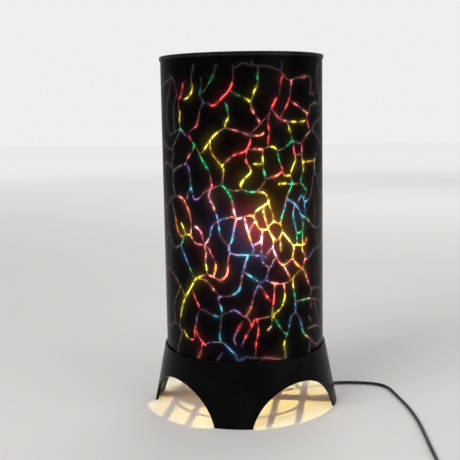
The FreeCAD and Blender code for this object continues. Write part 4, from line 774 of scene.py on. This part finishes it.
def roll_film(plan, film):
    span = heights("drum_film")
    half = math.pi * DRUM_RADIUS
    spots, faces = grid_sheet(-half, half, *span, FILM_COLUMNS, FILM_ROWS)
    glow = [film_light(plan, spot) for spot in spots]
    kinds = [0] * len(faces)
    piece = rolled_sheet("coloured_film", DRUM_RADIUS, FILM_THICKNESS, spots, faces, kinds, glow)
    finish_piece(piece, "drum", "drum_colours", film)
    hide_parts("drum_film")
    inside = DRUM_RADIUS - FILM_THICKNESS
    lap_strip("film_lap", span, inside, FILM_THICKNESS, FILM_LAP, film, "drum", "drum_colours")


# ---- Materials ----

WHITE = (1.0, 1.0, 1.0)


class Finish:
    """A new material, by its name, or the world, with short calls for the nodes that it needs."""

    def __init__(self, owner, **inputs):
        self.material = bpy.data.materials.new(owner) if isinstance(owner, str) else owner
        self.material.use_nodes = True
        self.tree = self.material.node_tree
        self.shader = self.tree.nodes.get("Principled BSDF") or self.tree.nodes["Background"]
        self.set(**inputs)

    def feed(self, socket, value):
        """Links a socket, or sets it; a colour is written without its alpha."""
        if isinstance(value, bpy.types.NodeSocket):
            self.tree.links.new(value, socket)
        else:
            socket.default_value = (*value, 1.0) if socket.type == "RGBA" else value

    def set(self, **inputs):
        for name, value in inputs.items():
            self.feed(self.shader.inputs[name.replace("_", " ")], value)

    def add(self, kind, settings=None, **inputs):
        made = self.tree.nodes.new("ShaderNode" + kind)
        for name, value in (settings or {}).items():
            setattr(made, name, value)
        for name, value in inputs.items():
            self.feed(made.inputs[name.replace("_", " ")], value)
        return made

    def maths(self, operation, *values, clamp=False):
        made = self.add("Math", {"operation": operation, "use_clamp": clamp})
        for socket, value in zip(made.inputs, values):
            self.feed(socket, value)
        return made.outputs[0]

    def vector(self, operation, *values, **inputs):
        made = self.add("VectorMath", {"operation": operation}, **inputs)
        for socket, value in zip(made.inputs, values):
            self.feed(socket, value)
        return made.outputs["Value" if operation in ("DISTANCE", "LENGTH", "DOT_PRODUCT") else 0]

    def between(self, value, start, end, low=0.0, high=1.0):
        """The value's smooth way from start to end, as a number from low to high."""
        made = self.add("MapRange", {"interpolation_type": "SMOOTHSTEP", "clamp": True})
        for socket, number in zip(made.inputs, (value, start, end, low, high)):
            self.feed(socket, number)
        return made.outputs[0]

    def mix(self, share, first, second):
        """A colour from the first to the second, by the Mix node's sockets for colours."""
        made = self.add("Mix", {"data_type": "RGBA"})
        for index, value in zip((0, 6, 7), (share, first, second)):
            self.feed(made.inputs[index], value)
        return made.outputs[2]

    def coat(self, share, colours, roughnesses=None):
        """A base colour, and a roughness, that wander between two with the share."""
        self.set(Base_Color=self.mix(share, *colours))
        if roughnesses:
            self.set(Roughness=self.between(share, 0.3, 0.7, *roughnesses))

    def dimmed(self, light, share):
        return self.vector("SCALE", light, Scale=share)

    def split(self, spot):
        return self.add("SeparateXYZ", Vector=spot).outputs

    def glow(self):
        """The light that is painted on a rolled sheet."""
        return self.add("Attribute", {"attribute_name": "glow"}).outputs["Color"]

    def place(self):
        """The point's place on its own piece, which moves with the piece, in millimetres."""
        return self.vector("SCALE", self.add("TexCoord").outputs["Object"], Scale=1 / MM)

    def wrapped(self, radius):
        """Millimetres along a tube's girth, nought at the front, and millimetres up it."""
        own = self.split(self.place())
        angle = self.maths("ARCTAN2", own["X"], self.maths("MULTIPLY", own["Y"], -1.0))
        girth = self.maths("MULTIPLY", angle, radius)
        return self.add("CombineXYZ", X=girth, Y=own["Z"]).outputs[0]

    def lowered(self):
        """1 while the piece stands in its place, falling to 0 as it is lifted away."""
        now = self.split(self.add("NewGeometry").outputs["Position"])
        own = self.split(self.add("TexCoord").outputs["Object"])
        lift = self.maths("SUBTRACT", now["Z"], own["Z"])
        return self.between(lift, 0.0, LIFT_FADE * MM, 1.0, 0.0)

    def noise(self, at, size, detail=2.0):
        """Soft noise from 0 to 1 whose lumps are about size millimetres across."""
        made = self.add("TexNoise", Vector=at, Scale=1.0 / size, Detail=detail)
        return made.outputs["Fac"]

    def bump(self, height, depth, strength=1.0):
        """Raises the surface by a height from 0 to 1 times depth, in millimetres."""
        made = self.add("Bump", Height=height, Strength=strength, Distance=depth * MM)
        self.set(Normal=made.outputs["Normal"])


def painted_bulb_glow(finish):
    """The bulb's glow painted in the print before it: red, violet to its left and orange to its right."""
    rolled = finish.split(finish.wrapped(SHADE_RADIUS))
    quarter = math.pi * SHADE_RADIUS / 2
    side = finish.maths("WRAP", rolled["X"], quarter, -quarter)
    half_way = finish.add("CombineXYZ", X=side, Y=rolled["Y"]).outputs[0]
    slant = finish.vector("DOT_PRODUCT", half_way, (1.0, HAZE_SLANT, 0.0))
    level = HAZE_SLANT * BULB_GLOW_SPOT[1]
    colour = HAZE_RED
    for start, end, ahead in HAZE_CHANGES:
        colour = finish.mix(finish.between(slant, level + start, level + end), colour, ahead)
    far = finish.vector("DISTANCE", half_way, (*BULB_GLOW_SPOT, 0.0))
    wide, close = (finish.between(far, reach, 0.0, 0.0, most) for reach, most in HAZE_REACHES)
    return finish.dimmed(colour, finish.maths("ADD", wide, close))


def black_print():
    """Gloss black print, with a breath of the bulb's light through it painted as a faint glow."""
    finish = Finish("black_print", Specular_IOR_Level=0.025, Emission_Strength=1.0)
    at = finish.place()
    grain = finish.noise(at, 1.2, 3.0)
    finish.coat(grain, ((0.0006, 0.0004, 0.0006), (0.002, 0.0015, 0.002)), (0.20, 0.30))
    # Painted light: the bulb's haze and a halo round each crack glow in the black, fading as the tube is
    # lifted.
    light = finish.vector("ADD", painted_bulb_glow(finish), finish.dimmed(finish.glow(), HALO_SHARE))
    finish.set(Emission_Color=finish.dimmed(light, finish.lowered()))
    finish.bump(finish.noise(at, 2.5), 0.02, 0.2)
    return finish.material


def clear_crack():
    """The sheet where nothing is printed: clear plastic, slightly milky, painted darker at its ends, and
    glowing with painted light.
    """
    finish = Finish("clear_crack", Roughness=0.3, Specular_IOR_Level=0.04, Emission_Strength=0.30)
    at = finish.place()
    cloud = finish.noise(at, 3.0)
    finish.coat(cloud, ((0.015, 0.012, 0.012), (0.028, 0.024, 0.023)))
    facing = finish.add("LayerWeight", Blend=0.5).outputs["Facing"]
    alpha = finish.between(cloud, 0.3, 0.7, 0.30, 0.40)
    up = finish.split(at)["Z"]
    # The cracks grow more opaque towards the sheet's bottom and top, a painted shade, and at a grazing
    # angle, as glass does.
    for share in (
        finish.between(up, *SHADED_LOW_END, 0.0, SHADED_SHARE),
        finish.between(up, *SHADED_HIGH_END, 0.0, SHADED_SHARE),
        finish.between(facing, 0.38, 0.82, 0.0, 0.40),
    ):
        alpha = finish.maths("ADD", alpha, share, clamp=True)
    # Painted light: the cracks glow with the light painted on the sheet, fading as it is lifted.
    finish.set(Alpha=alpha, Emission_Color=finish.dimmed(finish.glow(), finish.lowered()))
    return finish.material


def coloured_film():
    """Clear film printed in patches of strong colour between dim ones; the bulb's light through it is
    painted as its colour and glow.
    """
    finish = Finish("film_print", Roughness=0.35, Emission_Strength=4.2)
    light = finish.glow()
    mottle = finish.noise(finish.place(), 4.8, 1.0)
    shown = finish.dimmed(light, finish.between(mottle, 0.40, 0.60, 1.5, 0.16))
    finish.set(Base_Color=light, Emission_Color=shown)
    return finish.material


def enamel():
    """Gloss black paint with a slight orange peel and faint rubbed places."""
    finish = Finish("enamel", Specular_IOR_Level=0.05)
    at = finish.place()
    rubbed = finish.noise(at, 22.0, 4.0)
    worn = finish.between(rubbed, 0.45, 0.75)
    finish.set(Base_Color=finish.mix(worn, (0.0015, 0.0013, 0.0015), (0.004, 0.0036, 0.004)))
    finish.set(Roughness=finish.between(rubbed, 0.3, 0.7, 0.24, 0.36))
    finish.bump(finish.noise(at, 1.6), 0.03, 0.25)
    return finish.material


def moulded(name, colour, roughness, grain_size=0.7, depth=0.03, shine=0.3):
    """Moulded plastic or rubber with a fine grain and a little unevenness."""
    finish = Finish(name, Specular_IOR_Level=shine)
    at = finish.place()
    uneven = finish.noise(at, 14.0, 3.0)
    lighter = tuple(min(1.0, channel * 1.5 + 0.004) for channel in colour)
    finish.coat(uneven, (colour, lighter), (roughness - 0.05, roughness + 0.08))
    finish.bump(finish.noise(at, grain_size), depth, 0.5)
    return finish.material


def metal(name, colour, roughness, stretch=(1.0, 1.0, 12.0)):
    """Metal with fine marks drawn out along one axis."""
    finish = Finish(name, Metallic=1.0)
    marks = finish.noise(finish.vector("MULTIPLY", finish.place(), stretch), 2.2, 4.0)
    duller = [channel * 0.78 for channel in colour]
    finish.coat(marks, (duller, colour), (roughness - 0.06, roughness + 0.10))
    finish.bump(marks, 0.01, 0.4)
    return finish.material


def threaded(name, colour, roughness, pitch):
    """Metal rolled with a round thread that climbs by one pitch a turn, with painted shade in its
    grooves.
    """
    finish = Finish(name, Roughness=roughness, Metallic=1.0)
    own = finish.split(finish.place())
    angle = finish.maths("ARCTAN2", own["Y"], own["X"])
    climb = finish.maths("SUBTRACT", finish.maths("MULTIPLY", own["Z"], 2 * math.pi / pitch), angle)
    crest = finish.between(finish.maths("SINE", climb), -1.0, 1.0)
    # Painted shade: the thread's grooves are coloured half as bright as its crests.
    finish.coat(crest, ([channel * 0.5 for channel in colour], colour))
    finish.bump(crest, pitch * 0.25)
    return finish.material


def clear_glass():
    """The lit bulb's glass: thin, clear and full of warm light."""
    finish = Finish("clear_glass", Base_Color=(0.95, 0.93, 0.90), Roughness=0.05)
    dust = finish.noise(finish.place(), 9.0, 3.0)
    finish.set(Alpha=finish.between(dust, 0.3, 0.7, 0.22, 0.30))
    finish.set(Emission_Color=(1.0, 0.66, 0.42), Emission_Strength=0.8)
    return finish.material


def hot_wire():
    finish = Finish("hot_wire", Base_Color=(1.0, 0.8, 0.5), Roughness=0.4)
    coils = finish.noise(finish.place(), 0.6, 1.0)
    finish.set(Emission_Color=(1.0, 0.80, 0.52))
    finish.set(Emission_Strength=finish.between(coils, 0.3, 0.7, 20.0, 30.0))
    return finish.material


def dress_nodes(jacket):
    """Gives every CAD node that stays in sight its finish."""
    trim = moulded("gloss_trim", (0.004, 0.004, 0.005), 0.24, 1.4, 0.01, 0.1)
    phenolic = moulded("phenolic", (0.018, 0.015, 0.013), 0.38, 0.5, 0.02)
    plug_plastic = moulded("plug_plastic", (0.014, 0.014, 0.015), 0.45, 0.5, 0.03)
    zinc = metal("zinc", (0.72, 0.73, 0.76), 0.28)
    steel = metal("steel", (0.62, 0.62, 0.64), 0.30)
    brass = metal("brass", (0.80, 0.58, 0.24), 0.26)
    for material, *names in (
        (enamel(), "base_shell"),
        (trim, "shade_top_ring", "drum_hoop", "switch_lower_shell", "switch_upper_shell"),
        (moulded("deck_plastic", (0.022, 0.022, 0.025), 0.5), "vent_deck"),
        (phenolic, "lampholder_cap", "lampholder_body"),
        (moulded("black_glass", (0.01, 0.01, 0.015), 0.12, 2.0, 0.005), "bulb_insulator"),
        (threaded("shell_thread", (0.80, 0.58, 0.24), 0.28, 3.6), "screw_shell"),
        (threaded("cap_thread", (0.74, 0.74, 0.76), 0.25, 3.6), "bulb_cap"),
        (threaded("nipple_thread", (0.70, 0.71, 0.74), 0.3, 1.0), "nipple"),
        (metal("solder", (0.55, 0.55, 0.57), 0.45, (1.0, 1.0, 1.0)), "bulb_contact"),
        (clear_glass(), "bulb_glass", "bulb_stem"),
        (hot_wire(), "bulb_filament"),
        (metal("rolled_aluminium", (0.82, 0.83, 0.85), 0.34, (1.0, 14.0, 1.0)), "drum_rotor"),
        (jacket, "supply_lead"),
        (plug_plastic, "strain_relief", "cord_tie", "plug_body"),
        (moulded("rocker_plastic", (0.05, 0.05, 0.055), 0.30, 0.5, 0.01), "switch_rocker"),
        (zinc, "deck_screws", "lock_nut", "hub_washer", "shade_rivets", "switch_screws"),
        (steel, "bulb_leads", "pivot_bail", "pivot_needle"),
        (brass, "centre_contact", "needle_collar", "bearing_cup", "plug_blades"),
    ):
        for name in names:
            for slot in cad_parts[name].material_slots:
                slot.material = material


# ---- Stage and light ----


def pale_floor():
    spots, faces = grid_sheet(-FLOOR_REACH, FLOOR_REACH, -FLOOR_REACH, FLOOR_REACH, 1, 1)
    mesh = bpy.data.meshes.new("floor")
    mesh.from_pydata([(*spot, 0.0) for spot in spots], [], faces)
    floor = put("floor", mesh)
    floor.location.z = -FLOOR_DROP
    finish = Finish("floor", Roughness=0.7, Specular_IOR_Level=0.2, Emission_Color=WHITE)
    at = finish.place()
    cloudy = finish.noise(at, 300.0)
    finish.coat(cloudy, ((0.76, 0.75, 0.73), (0.80, 0.79, 0.77)))
    glow = finish.between(finish.vector("LENGTH", at), *FLOOR_FADE, 0.0, FLOOR_GLOW)
    seen = finish.add("LightPath").outputs["Is Camera Ray"]
    finish.set(Emission_Strength=finish.maths("MULTIPLY", glow, seen))
    mesh.materials.append(finish.material)


def studio():
    world = bpy.data.worlds.new("studio")
    bpy.context.scene.world = world
    sky = Finish(world, Color=WHITE)
    path = sky.add("LightPath").outputs
    seen = sky.maths("ADD", path["Is Camera Ray"], path["Is Transmission Ray"], clamp=True)
    sky.set(Strength=sky.between(seen, 0.0, 1.0, SKY_LIGHT, SKY_SHOWN))
    for name, place, size, energy in STUDIO_LIGHTS:
        lamp = bpy.data.lights.new(name, "AREA")
        lamp.size = size
        lamp.energy = energy
        holder = put(name, lamp)
        holder.location = place
        aim = LIGHT_TARGET - Vector(place)
        holder.rotation_euler = aim.to_track_quat("-Z", "Y").to_euler()


def bulb_light():
    """The filament's own light, which throws the deck's slats on the table."""
    lamp = bpy.data.lights.new("filament_light", "POINT")
    lamp.color = BULB_COLOUR
    lamp.energy = BULB_ENERGY
    lamp.shadow_soft_size = BULB_SIZE
    put("filament_light", lamp).location = FILAMENT_SPOT * MM


set_camera()
jacket = moulded("jacket", (0.012, 0.012, 0.013), 0.42, 0.35, 0.02)
dress_nodes(jacket)
lay_cords(jacket)
plan = film_plan()
roll_shade(plan, black_print(), clear_crack())
roll_film(plan, coloured_film())
pale_floor()
studio()
bulb_light()
bpy.context.scene.view_settings.view_transform = "Standard"
